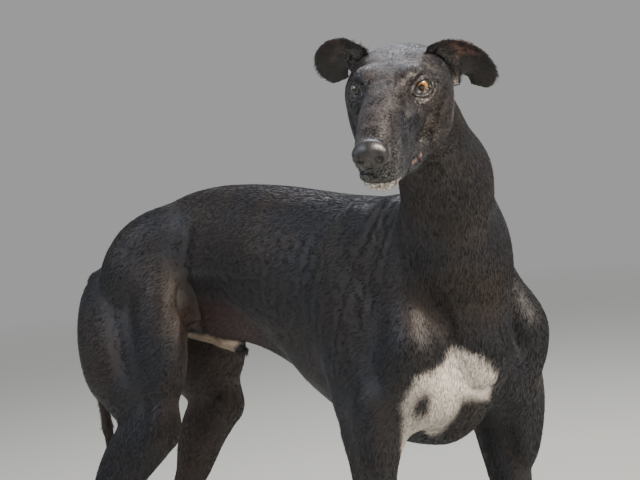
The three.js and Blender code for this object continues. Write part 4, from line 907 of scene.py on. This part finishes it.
def markings(p):
    """Named distances in millimetres at standing points p. Negative is inside the marking."""
    u = unbend(p)
    h = into_head(p)
    x, y, z = u.T
    face = (h[:, 0] > -30) & (np.abs(h[:, 1]) < 70) & (h[:, 0] < 140) & (p[:, 2] > 640)
    chest = (x > 40) & (z < 560) & (z > 380) & (p[:, 2] < 640)
    white = np.where(chest, outline_distance(p[:, 1:], WHITE_OUTLINE), 99.0)
    white = np.maximum(white, -spot(p[:, 1:], (-79, 465), (8.5, 17)))
    chin = np.where(face, spot(h, (90, 0, -70), (24, 20, 11)), 99.0)
    white = np.minimum(white, chin)
    grey = np.where(face, spot(h, (104, 0, -40), (40, 30, 26)), 99.0)
    lid = np.full(len(p), 99.0)
    pink = np.full(len(p), 99.0)
    for s in (1, -1):
        out, along, height, away, across = lids(h, s)
        near = (along > -3) & (away < 24)
        lid = np.where(near, np.minimum(lid, out - 1.6), lid)
        duct = np.hypot(across * s - 10.3, height + 1.5) - 2.2
        pink = np.where(near & (away < 14), np.minimum(pink, duct), pink)
    corner = np.where(
        face & (h[:, 0] > 27) & (h[:, 0] < 50) & (np.abs(h[:, 1]) > 8), np.abs(h[:, 2] - mouth_height(h[:, 0])) - 1.3, 99.0
    )
    pink = np.minimum(pink, corner)
    lip = np.where(face & (h[:, 0] > 38), np.abs(h[:, 2] - mouth_height(h[:, 0]) + 0.6) - 2.0, 99.0)
    lid = np.minimum(lid, lip)
    groin = spot(u, (-325, 0, 545), (95, 75, 48))
    groin = np.maximum(groin, z - np.interp(x, *np.asarray(FLANK_FOLD, float)[::-1].T) + 4)
    inner = np.where(x < -380, np.abs(y) - 74, 99.0)
    inner = np.maximum(inner, z - 560)
    sheath_away = np.minimum.reduce([piece[3](u) for piece in sheath])
    tip = spot(u, (-332, 0, 495), (14, 14, 14))
    return {
        "white": white,
        "grey": grey,
        "lid": lid,
        "pink": pink,
        "groin": groin,
        "inner": inner,
        "sheath": sheath_away - 2.0,
        "tip": tip,
    }


def lie_of(p, n):
    """The way the hair lies at standing points p with normals n, as unit vectors along the surface."""
    u = unbend(p)
    h = into_head(p)
    x, y, z = u.T
    turn = np.clip(-x / BEND_RADIUS, 0, SPINE_BEND)
    back = np.stack([-np.cos(turn), -np.sin(turn), np.zeros(len(p))], 1)
    way = back + np.array([0, 0, -0.55])
    down = step(0, 1, (470 - z) / 90)[:, None] * ((np.abs(y) > 40) | (z < 380))[:, None]
    way = way * (1 - down) + (back * 0.25 + np.array([0, 0, -1.0])) * down
    front = (step(70, 110, x) * (1 - step(620, 700, z)))[:, None]
    way = way * (1 - front) + np.array([-0.2, 0.0, -1.0]) * front
    neck = (step(90, 150, x) * step(600, 680, z))[:, None]
    way = way * (1 - neck) + np.array([-0.6, 0.35, -0.8]) * neck
    head = (step(-112, -84, h[:, 0]) * (h[:, 0] < 140) * (np.abs(h[:, 1]) < 100) * (h[:, 2] > -110))[:, None]
    head = head * (p[:, 2:] > 640)
    way = way * (1 - head) + (np.array([-1.0, 0, -0.15]) @ HEAD_AXES.T) * head
    ear = (head[:, 0] > 0.5) & (np.abs(h[:, 1]) > 46) & (h[:, 0] < -30)
    out = np.stack([np.full(len(p), -0.3), np.sign(h[:, 1]), np.full(len(p), -0.1)], 1) @ HEAD_AXES.T
    way = np.where(ear[:, None], out, way)
    way = way - n * (way * n).sum(1)[:, None]
    return way / np.maximum(np.linalg.norm(way, axis=1), 1e-6)[:, None]


def store(mesh, name, values, kind="FLOAT", domain="POINT"):
    layer = mesh.attributes.new(name, kind, domain)
    key = "vector" if kind == "FLOAT_VECTOR" else "value"
    layer.data.foreach_set(key, np.ascontiguousarray(values, np.float32).ravel())


def normals_of(mesh):
    n = np.empty(len(mesh.vertices) * 3, np.float32)
    mesh.vertices.foreach_get("normal", n)
    return n.reshape(-1, 3).astype(float)


normals = normals_of(skin.data)
marks = markings(mm)
head_normals = normals @ HEAD_AXES
in_head = into_head(mm)
cup = loose * step(-0.1, 0.35, head_normals @ unit((1, -0.1, -0.25)))
marks["cup"] = np.where(np.abs(in_head[:, 1]) > 36, cup, 0)
# Pink skin inside the ear cups: full on the left ear, a quarter on the right, so that the right cup stays dark as
# painted shade.
marks["ear_pink_right_shaded"] = np.where(in_head[:, 1] > 0, 1.0, 0.25) * marks["cup"] * bell(np.abs(in_head[:, 1]) - 68, 13) * step(
    -4, 8, in_head[:, 2]
)
lie = lie_of(mm, normals)
marks["face"] = step(-104, -70, in_head[:, 0]) * (np.abs(in_head[:, 1]) < 60) * (in_head[:, 0] < 140) * (
    mm[:, 2] > 640
)
marks["tone"] = np.ones(len(mm))
for name, values in marks.items():
    store(skin.data, name, values)
store(skin.data, "lie", lie, "FLOAT_VECTOR")

# Short black coat: glossy guard hairs up to a centimetre long, blue-black in the shade and warm in the sun.
BLACK_COOL = "#191a20"
BLACK_WARM = "#271f1c"
WHITE_HAIR = "#e4ded6"
GREY_HAIR = "#77736f"
BARE_SKIN = "#232022"
PINK_SKIN = "#8a6660"
GROIN_SKIN = "#3f2a27"
SHEATH_HAIR = "#b9a58f"
SHEATH_TIP = "#1c1817"
INNER_THIGH = "#3b2f29"
WHITE_ROOT = "#a9a19a"
EAR_CUP = "#1b1819"
SHEEN = "#c9d2e6"


def coat_look(name, bumpy):
    material, tree, shader = new_material(name)
    place = node(tree, "ShaderNodeTexCoord").outputs["Object"]

    def attribute(name, output="Fac"):
        return node(tree, "ShaderNodeAttribute", {"attribute_name": name}).outputs[output]

    def noise(scale, detail=2.0, vector=place):
        return node(tree, "ShaderNodeTexNoise", Vector=vector, Scale=scale, Detail=detail).outputs["Fac"]

    def maths(kind, a, b=0.0, c=0.0):
        return node(tree, "ShaderNodeMath", {"operation": kind}, _0=a, _1=b, _2=c).outputs["Value"]

    def ramp(value, low, high, to_low=0.0, to_high=1.0):
        made = node(tree, "ShaderNodeMapRange", {"clamp": True}, Value=value)
        for key, number in (("From Min", low), ("From Max", high), ("To Min", to_low), ("To Max", to_high)):
            made.inputs[key].default_value = number
        return made.outputs["Result"]

    def mix(factor, a, b):
        made = node(tree, "ShaderNodeMix", {"data_type": "RGBA"}, _0=factor)
        for key, value in ((6, a), (7, b)):
            if isinstance(value, str):
                made.inputs[key].default_value = linear(value)
            else:
                tree.links.new(value, made.inputs[key])
        return made.outputs[2]

    # Hair streaks: noise stretched along the lie of the coat, one for each axis, weighed by the lie.
    lie = attribute("lie", "Vector")
    parts = node(tree, "ShaderNodeSeparateXYZ", Vector=lie)
    streaks = None
    for axis, stretch in (("X", (130, 1300, 1300)), ("Y", (1300, 130, 1300)), ("Z", (1300, 1300, 130))):
        scaled = node(tree, "ShaderNodeVectorMath", {"operation": "MULTIPLY"}, _0=place)
        scaled.inputs[1].default_value = stretch
        value = noise(1.0, 2.0, scaled.outputs["Vector"])
        weight = maths("POWER", maths("ABSOLUTE", parts.outputs[axis]), 2.0)
        term = maths("MULTIPLY", value, weight)
        streaks = term if streaks is None else maths("ADD", streaks, term)
    broad = noise(9.0, 3.0)
    clumps = noise(60.0, 3.0)
    black = mix(ramp(broad, 0.42, 0.62), BLACK_COOL, BLACK_WARM)
    inner = ramp(maths("ADD", attribute("inner"), maths("MULTIPLY", broad, 14.0)), 0.0, 22.0, 0.75, 0.0)
    black = mix(inner, black, INNER_THIGH)
    groin = ramp(maths("ADD", attribute("groin"), maths("MULTIPLY", clumps, 22.0)), -8.0, 20.0, 0.9, 0.0)
    colour = mix(groin, black, GROIN_SKIN)
    sheath_part = ramp(maths("ADD", attribute("sheath"), maths("MULTIPLY", clumps, 5.0)), 0.5, 4.5, 1.0, 0.0)
    colour = mix(sheath_part, colour, SHEATH_HAIR)
    tip = ramp(attribute("tip"), -3.0, 3.0, 1.0, 0.0)
    colour = mix(tip, colour, SHEATH_TIP)
    fray = maths("MULTIPLY", maths("SUBTRACT", streaks, 0.5), 26.0)
    grey = ramp(maths("ADD", attribute("grey"), fray), -14.0, 10.0, 0.7, 0.0)
    speckle = ramp(noise(900.0, 1.0), 0.52, 0.66)
    colour = mix(maths("MULTIPLY", grey, speckle), colour, GREY_HAIR)
    white = ramp(
        maths("ADD", attribute("white"), maths("ADD", fray, maths("MULTIPLY", clumps, 5.0))),
        -1.0,
        5.5,
        1.0,
        0.0,
    )
    white_shade = mix(ramp(streaks, 0.35, 0.6), WHITE_ROOT, WHITE_HAIR)
    colour = mix(white, colour, white_shade)
    colour = mix(attribute("cup"), colour, EAR_CUP)
    # Pink inside the ears, cut down on the right ear as painted shade.
    ear_pink_and_shade = maths("MULTIPLY", attribute("ear_pink_right_shaded"), ramp(noise(90.0), 0.42, 0.6, 0.0, 0.75))
    colour = mix(ear_pink_and_shade, colour, PINK_SKIN)
    bare = ramp(attribute("lid"), -0.6, 0.8, 1.0, 0.0)
    colour = mix(bare, colour, BARE_SKIN)
    pink = ramp(attribute("pink"), -0.5, 1.2, 0.85, 0.0)
    colour = mix(pink, colour, PINK_SKIN)
    shade = ramp(streaks, 0.3, 0.7, 0.84, 1.16)
    mottle = ramp(noise(420.0, 2.0), 0.38, 0.64, -0.45, 0.75)
    blotch = ramp(noise(75.0, 2.0), 0.38, 0.64, -0.3, 0.45)
    mottled = maths("MULTIPLY_ADD", attribute("face"), maths("ADD", mottle, blotch), 1.0)
    shade = maths("MULTIPLY", maths("MULTIPLY", shade, mottled), attribute("tone"))
    tinted = node(tree, "ShaderNodeVectorMath", {"operation": "SCALE"}, _0=colour, _3=shade)
    tree.links.new(tinted.outputs["Vector"], shader.inputs["Base Color"])
    rough = ramp(streaks, 0.3, 0.7, 0.4, 0.56)
    tree.links.new(rough, shader.inputs["Roughness"])
    tree.links.new(maths("MULTIPLY", shade, 0.46), shader.inputs["Specular IOR Level"])
    shader.inputs["Sheen Weight"].default_value = 0.04
    shader.inputs["Sheen Roughness"].default_value = 0.4
    shader.inputs["Sheen Tint"].default_value = linear(SHEEN)
    if bumpy:
        height = maths("ADD", maths("MULTIPLY", streaks, 1.0), maths("MULTIPLY", noise(320.0, 3.0), 0.35))
        bump = node(tree, "ShaderNodeBump", Strength=0.55, Distance=0.0009, Height=height)
        tree.links.new(bump.outputs["Normal"], shader.inputs["Normal"])
    return material


skin.data.materials.append(coat_look("short black coat over skin", True))

# Eyes: clear moist balls over an amber iris. They are held in their sockets by the lids and by the muscles
# behind them, and only the front shows.
EYE_RADIUS = 11.0
IRIS_RADIUS = 7.2
PUPIL_RADIUS = 2.7
CORNEA_RISE = 0.0013  # metres
GAZE = {"left": (0.94, 0.24, -0.02), "right": (0.93, -0.32, -0.02)}  # in the head's frame
# Iris colours: the left is the amber iris; the right is the same iris painted darker and greyer as painted shade.
IRIS_TONES_AND_SHADE = {"left": ("#7c5426", "#a9804a", "#5f4526"), "right": ("#4a4030", "#655c46", "#37322a")}


def colour_ramp(tree, value, stops):
    """Colour picked by a value from stops of (value, hex colour)."""
    ramp = node(tree, "ShaderNodeValToRGB", Fac=value)
    elements = ramp.color_ramp.elements
    while len(elements) < len(stops):
        elements.new(0.5)
    for element, (at, colour) in zip(elements, stops):
        element.position = at
        element.color = linear(colour)
    return ramp.outputs["Color"]


def smooth(obj):
    for polygon in obj.data.polygons:
        polygon.use_smooth = True


def eye_look(name, at, gaze, iris_and_shade):
    material, tree, shader = new_material(name)
    place = node(tree, "ShaderNodeTexCoord").outputs["Object"]
    off = node(tree, "ShaderNodeVectorMath", {"operation": "SUBTRACT"}, _0=place)
    off.inputs[1].default_value = at
    along = node(tree, "ShaderNodeVectorMath", {"operation": "DOT_PRODUCT"}, _0=off.outputs["Vector"])
    along.inputs[1].default_value = gaze
    length = node(tree, "ShaderNodeVectorMath", {"operation": "LENGTH"}, _0=off.outputs["Vector"])
    cosine = node(
        tree, "ShaderNodeMath", {"operation": "DIVIDE"}, _0=along.outputs["Value"], _1=length.outputs["Value"]
    )
    angle = node(tree, "ShaderNodeMath", {"operation": "ARCCOSINE"}, _0=cosine.outputs["Value"])
    fibre = node(tree, "ShaderNodeTexNoise", Vector=place, Scale=900.0, Detail=3.0)
    wobble = node(
        tree, "ShaderNodeMath", {"operation": "MULTIPLY_ADD"}, _0=fibre.outputs["Fac"], _1=0.08, _2=angle.outputs[
            "Value"
        ]
    )
    edge = math.asin(IRIS_RADIUS / EYE_RADIUS) + 0.04
    pupil = math.asin(PUPIL_RADIUS / EYE_RADIUS) + 0.04
    # The iris tones carry the painted shade of the right eye, whose iris is darkened.
    stops = (
        (0.0, "#050404"),
        (pupil, "#070505"),
        (pupil + 0.05, iris_and_shade[0]),
        (edge * 0.72, iris_and_shade[1]),
        (edge * 0.93, iris_and_shade[2]),
        (edge, "#0d0908"),
        (edge + 0.1, "#1c1513"),
    )
    tree.links.new(colour_ramp(tree, wobble.outputs["Value"], stops), shader.inputs["Base Color"])
    shader.inputs["Roughness"].default_value = 0.25
    shader.inputs["Coat Weight"].default_value = 1.0
    shader.inputs["Coat Roughness"].default_value = 0.02
    shader.inputs["Coat IOR"].default_value = 1.38
    return material


for side, s in (("left", 1), ("right", -1)):
    name = "eye_" + side
    middle = (from_head((EYE_AT[0], s * EYE_AT[1], EYE_AT[2])) + CENTRE) / 1000
    gaze = unit(GAZE[side]) @ HEAD_AXES.T
    bpy.ops.mesh.primitive_uv_sphere_add(segments=64, ring_count=40, radius=EYE_RADIUS / 1000)
    eye = bpy.context.object
    eye.name = name + "_ball"
    co = points_of(eye.data)
    facing = co @ gaze / (EYE_RADIUS / 1000)
    dome = math.cos(math.asin(IRIS_RADIUS / EYE_RADIUS))
    co = co + gaze * (CORNEA_RISE * step(dome, 1.0, facing))[:, None]
    set_points(eye.data, co + middle)
    smooth(eye)
    eye.data.materials.append(eye_look("amber eye " + side, tuple(middle), tuple(gaze), IRIS_TONES_AND_SHADE[side]))
    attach(eye, "root")
    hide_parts(name)

# Nose leather: a bare pad of fine pebbled skin, moist on top, over the end of the muzzle. It is part of the
# hide and grows out of it all round its edge.
LEATHER_THICK = 0.0006  # metres
nose_edge = nose_distance(in_head)
bpy.ops.object.select_all(action="DESELECT")
nose = skin.copy()
nose.data = skin.data.copy()
bpy.context.collection.objects.link(nose)
nose.name = "nose_leather"
nose.data.materials.clear()
bpy.context.view_layer.objects.active = nose
nose.select_set(True)
select_vertices(nose, (nose_edge > 1.4) | (in_head[:, 0] < 96) | (in_head[:, 2] < -42))
bpy.ops.mesh.delete(type="VERT")
bpy.ops.object.mode_set(mode="OBJECT")
co = points_of(nose.data)
nose_normals = normals_of(nose.data)
in_nose = into_head(co * 1000 - CENTRE)
raised = 0.55 * (1 - step(-2.5, 1.2, nose_distance(in_nose))) - 0.15
set_points(nose.data, co + nose_normals * (raised / 1000)[:, None])
bpy.ops.object.modifier_add(type="SOLIDIFY")
nose.modifiers[-1].thickness = LEATHER_THICK
nose.modifiers[-1].offset = -1
bpy.ops.object.modifier_apply(modifier=nose.modifiers[-1].name)
leather, tree, shader = new_material("nose leather")
place = node(tree, "ShaderNodeTexCoord").outputs["Object"]
pebble = node(tree, "ShaderNodeTexVoronoi", Vector=place, Scale=700.0)
tone = node(tree, "ShaderNodeTexNoise", Vector=place, Scale=120.0, Detail=3.0)
black = colour_ramp(tree, tone.outputs["Fac"], ((0.35, "#1a191b"), (0.7, "#363336")))
tree.links.new(black, shader.inputs["Base Color"])
shader.inputs["Roughness"].default_value = 0.34
shader.inputs["Specular IOR Level"].default_value = 0.6
bump = node(tree, "ShaderNodeBump", Strength=0.5, Distance=0.0004, Height=pebble.outputs["Distance"])
tree.links.new(bump.outputs["Normal"], shader.inputs["Normal"])
nose.data.materials.append(leather)
for key in list(nose.keys()):
    del nose[key]
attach(nose, "root")


def mesh_from(name, points, faces):
    """A mesh of triangles from arrays: points in metres, faces as rows of point numbers."""
    mesh = bpy.data.meshes.new(name)
    mesh.vertices.add(len(points))
    mesh.vertices.foreach_set("co", np.ascontiguousarray(points, np.float32).ravel())
    mesh.loops.add(faces.size)
    mesh.loops.foreach_set("vertex_index", np.ascontiguousarray(faces, np.int32).ravel())
    mesh.polygons.add(len(faces))
    mesh.polygons.foreach_set("loop_start", np.arange(0, faces.size, 3, dtype=np.int32))
    mesh.update(calc_edges=True)
    obj = bpy.data.objects.new(name, mesh)
    bpy.context.collection.objects.link(obj)
    return obj


def spines(rows, sides):
    """Tapered closed rods. rows: (points along the rod in mm, their radii in mm)."""
    all_points, all_faces = [], []
    count = 0
    turn = np.arange(sides) * 2 * np.pi / sides
    for path, radii in rows:
        path, radii = np.asarray(path, float), np.asarray(radii, float)
        way = np.gradient(path, axis=0)
        way /= np.linalg.norm(way, axis=1)[:, None]
        across = np.cross(way, (0.31, 0.52, 0.79))
        across /= np.linalg.norm(across, axis=1)[:, None]
        third = np.cross(way, across)
        ring = (
            path[:, None]
            + (np.cos(turn)[None, :, None] * across[:, None] + np.sin(turn)[None, :, None] * third[:, None])
            * radii[:, None, None]
        )
        n = len(path)
        all_points.append(np.concatenate([ring.reshape(-1, 3), path[:1], path[-1:]]))
        i, j = np.meshgrid(np.arange(n - 1), np.arange(sides), indexing="ij")
        a, b = i * sides + j, i * sides + (j + 1) % sides
        quads = np.stack([a, b, b + sides, a, b + sides, a + sides], -1).reshape(-1, 3)
        k = np.arange(sides)
        low = np.stack([np.full(sides, n * sides), (k + 1) % sides, k], 1)
        last = (n - 1) * sides
        high = np.stack([np.full(sides, n * sides + 1), last + k, last + (k + 1) % sides], 1)
        all_faces.append(np.concatenate([quads, low, high]) + count)
        count += n * sides + 2
    return np.concatenate(all_points), np.concatenate(all_faces)


def bend_back(q):
    """From the straight dog's frame to where the dog stands: the other way of unbend."""
    q = np.asarray(q, float)
    x, y = q[:, 0], q[:, 1]
    turn = np.clip(-x / BEND_RADIUS, 0, SPINE_BEND)
    over = np.minimum(x - PELVIS_AT, 0)
    ahead_x = np.maximum(x, 0)
    px = ahead_x - (BEND_RADIUS + y) * np.sin(turn) + over * np.cos(turn)
    py = (BEND_RADIUS + y) * np.cos(turn) - BEND_RADIUS + over * np.sin(turn)
    return np.stack([px, py, q[:, 2]], 1)


# Claws: blunt black horn, four to a paw. Each grows over the last bone of its toe and out through the skin of
# the toe's tip.
CLAW_PATH = (
    (-3, 14.2, 3.3), (3, 13.8, 3.4), (8, 12.2, 3.0), (12.5, 9.4, 2.4), (16, 6.4, 1.6), (17.6, 4.6, 0.7)
)
claw_rows = []
for (x, y, size) in FORE_PAWS + HIND_PAWS:
    for spread, length, _, _ in TOES:
        out = y + spread * 13.1 * size
        tip = x + length * 1.08 * size
        path = np.array([(tip + forward, out, height) for forward, height, _ in CLAW_PATH])
        claw_rows.append((bend_back(path), [radius for _, _, radius in CLAW_PATH]))
points, faces = spines(claw_rows, 12)
claws = mesh_from("claws", (points + CENTRE) / 1000, faces)
smooth(claws)
horn, tree, shader = new_material("black horn")
place = node(tree, "ShaderNodeTexCoord").outputs["Object"]
grain = node(tree, "ShaderNodeTexNoise", Vector=place, Scale=500.0, Detail=2.0)
brown = colour_ramp(tree, grain.outputs["Fac"], ((0, "#151313"), (1, "#39322d")))
tree.links.new(brown, shader.inputs["Base Color"])
shader.inputs["Roughness"].default_value = 0.35
claws.data.materials.append(horn)
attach(claws, "root")

# Coat: short guard hairs in flat, tapered tufts that overlap along the lie, on every side of the dog. Each tuft
# is rooted a third of a millimetre deep in the skin.
# Tufts to a square centimetre, and their length in millimetres:
BODY_TUFTS = 26.0, 9.0
NECK_TUFTS = 32, 8.5
LEG_TUFTS = 34, 6.5
HEAD_TUFTS = 75, 5.2
FOOT_TUFTS = 44, 3.6
CUP_TUFTS = 12, 3.0
TAIL_LENGTH = 9
MUZZLE_LENGTH = 3.2
LID_LENGTH = 2.2
ROOT_DEEP = 0.35
CREST_HIGH = 0.22
rng = np.random.default_rng(7)
triangles = np.empty(len(skin.data.polygons) * 3, np.int32)
skin.data.polygons.foreach_get("vertices", triangles)
triangles = triangles.reshape(-1, 3)
corners = mm[triangles]
middles = corners.mean(1)
areas = np.linalg.norm(np.cross(corners[:, 1] - corners[:, 0], corners[:, 2] - corners[:, 0]), axis=1) / 2
straight = unbend(middles)
headwise = into_head(middles)
on_head = in_head_box(headwise) & (middles[:, 2] > 640)
on_foot = middles[:, 2] < FOOT_TOP
on_leg = (straight[:, 2] < 400) & ~on_foot
on_neck = (middles[:, 0] > 90) & (middles[:, 2] > 560) & ~on_head
face_marks = {k: v[triangles].mean(1) for k, v in marks.items()}
density = np.full(len(triangles), BODY_TUFTS[0])
length = np.full(len(triangles), BODY_TUFTS[1])
inside_cup = face_marks["cup"] > 0.3
for here, tufts in ((on_neck, NECK_TUFTS), (on_leg, LEG_TUFTS), (on_head, HEAD_TUFTS), (on_foot, FOOT_TUFTS)):
    density[here], length[here] = tufts
tail_here = (straight[:, 0] < -570) & (np.abs(straight[:, 1]) < 30)
length[tail_here] = TAIL_LENGTH
bare = (nose_distance(headwise) < 2.0) & on_head
bare |= face_marks["lid"] < 0.6
bare |= face_marks["pink"] < 0.8
bare |= middles[:, 2] < 3
muzzle_here = on_head & (headwise[:, 0] > 40)
length[muzzle_here] = MUZZLE_LENGTH
length[on_head & (from_eyes(headwise) < 18)] = LID_LENGTH
density[inside_cup], length[inside_cup] = CUP_TUFTS
density[bare] = 0
wanted = areas / 100 * density
whole = rng.poisson(wanted)
root_face = np.repeat(np.arange(len(triangles)), whole)
count = len(root_face)
a, b = rng.random(count), rng.random(count)
flip = a + b > 1
a[flip], b[flip] = 1 - a[flip], 1 - b[flip]
weights = np.stack([1 - a - b, a, b], 1)
root = (corners[root_face] * weights[:, :, None]).sum(1)
n = (normals[triangles[root_face]] * weights[:, :, None]).sum(1)
n /= np.linalg.norm(n, axis=1)[:, None]
d = lie_of(root, n)
side_way = np.cross(n, d)
swing = rng.normal(0, 0.12, count)
d = d * np.cos(swing)[:, None] + side_way * np.sin(swing)[:, None]
side_way = np.cross(n, d)
long = length[root_face] * rng.uniform(0.7, 1.25, count)
wide = np.clip(long * 0.07, 0.3, 0.5) * rng.uniform(0.8, 1.2, count)
wide *= np.where(on_head[root_face], 1.35, 1.0)
lift_angle = rng.uniform(0.01, 0.07, count)
lift_angle += 0.1 * (rng.random(count) < 0.06)
tip = root + d * (long * np.cos(lift_angle))[:, None] + n * (long * np.sin(lift_angle))[:, None]
sunk = root - n * ROOT_DEEP
left_foot = sunk + side_way * (wide / 2)[:, None]
right_foot = sunk - side_way * (wide / 2)[:, None]
crest = root + n * CREST_HIGH + d * (long * 0.18)[:, None]
shades = {k: v[triangles[root_face]] for k, v in marks.items()}
shades = {k: (v * weights).sum(1) for k, v in shades.items()}
shades["tone"] = np.clip(rng.normal(1.0, np.where(on_head[root_face], 0.42, 0.15), count), 0.35, 2.0)


def unwrap_cells(p, normal):
    """Place of each point on an unwrap of the skin: one cell for each part of the body and side of it."""
    u = unbend(p)
    h = into_head(p)
    part = np.full(len(p), 2)
    part[(p[:, 0] > 90) & (p[:, 2] > 560)] = 1
    part[in_head_box(h) & (p[:, 2] > 640)] = 0
    low = u[:, 2] < 430
    part[low & (u[:, 0] > -260) & (u[:, 1] > 0)] = 3
    part[low & (u[:, 0] > -260) & (u[:, 1] <= 0)] = 4
    part[low & (u[:, 0] <= -260) & (u[:, 1] > 30)] = 5
    part[low & (u[:, 0] <= -260) & (u[:, 1] < -30)] = 6
    part[(u[:, 0] < -565) & (np.abs(u[:, 1]) <= 30)] = 7
    axis = np.abs(normal).argmax(1)
    cell = part * 6 + axis * 2 + (normal[np.arange(len(p)), axis] > 0)
    uv = np.zeros((len(p), 2))
    pitch = 1 / 7
    for k in range(3):
        keep = axis == k
        uv[keep] = p[keep][:, [j for j in range(3) if j != k]]
    low_of = np.zeros((48, 2))
    span_of = np.ones(48)
    for c in range(48):
        here = cell == c
        if here.any():
            low_of[c] = uv[here].min(0)
            span_of[c] = max((uv[here].max(0) - low_of[c]).max(), 1.0)
    uv = (uv - low_of[cell]) / span_of[cell][:, None] * (pitch - 0.012) + 0.006
    return uv + np.stack([cell % 7, cell // 7], 1) * pitch


root_uv = unwrap_cells(root, n)
fur = coat_look("guard hair", False)
region = np.select(
    [on_head[root_face], on_neck[root_face], on_foot[root_face] | on_leg[root_face]],
    [0, 1, 2],
    np.where(straight[root_face][:, 0] > -200, 3, 4),
)
PIECES = ("coat_head", "coat_neck", "coat_legs", "coat_chest", "coat_rump")
PATCH = np.array([(-0.0015, -0.0015), (0.0015, -0.0015), (0.0, 0.0015), (0.0, 0.0)])
MOST = 49000
for number, name in enumerate(PIECES):
    chosen = np.nonzero(region == number)[0]
    for start in range(0, len(chosen), MOST):
        pick = chosen[start : start + MOST]
        m = len(pick)
        points = np.stack([left_foot[pick], right_foot[pick], crest[pick], tip[pick]], 1).reshape(-1, 3)
        base = np.arange(m)[:, None] * 4
        faces = np.concatenate([base + f for f in ((0, 1, 2), (1, 0, 3), (0, 2, 3), (2, 1, 3))], 1).reshape(
            -1, 3
        )
        piece = mesh_from(
            name + ("" if not start else "_%d" % (start // MOST + 1)), (points + CENTRE) / 1000, faces
        )
        uv_layer = piece.data.uv_layers.new(name="OFBake")
        uv = (root_uv[pick][:, None, :] + PATCH[None]).reshape(-1, 2)
        uv_layer.data.foreach_set("uv", np.ascontiguousarray(uv[faces.ravel()], np.float32).ravel())
        for key, values in shades.items():
            store(piece.data, key, np.repeat(values[pick], 4))
        store(piece.data, "lie", np.repeat(d[pick], 4, axis=0), "FLOAT_VECTOR")
        piece.data.materials.append(fur)
        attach(piece, "root")
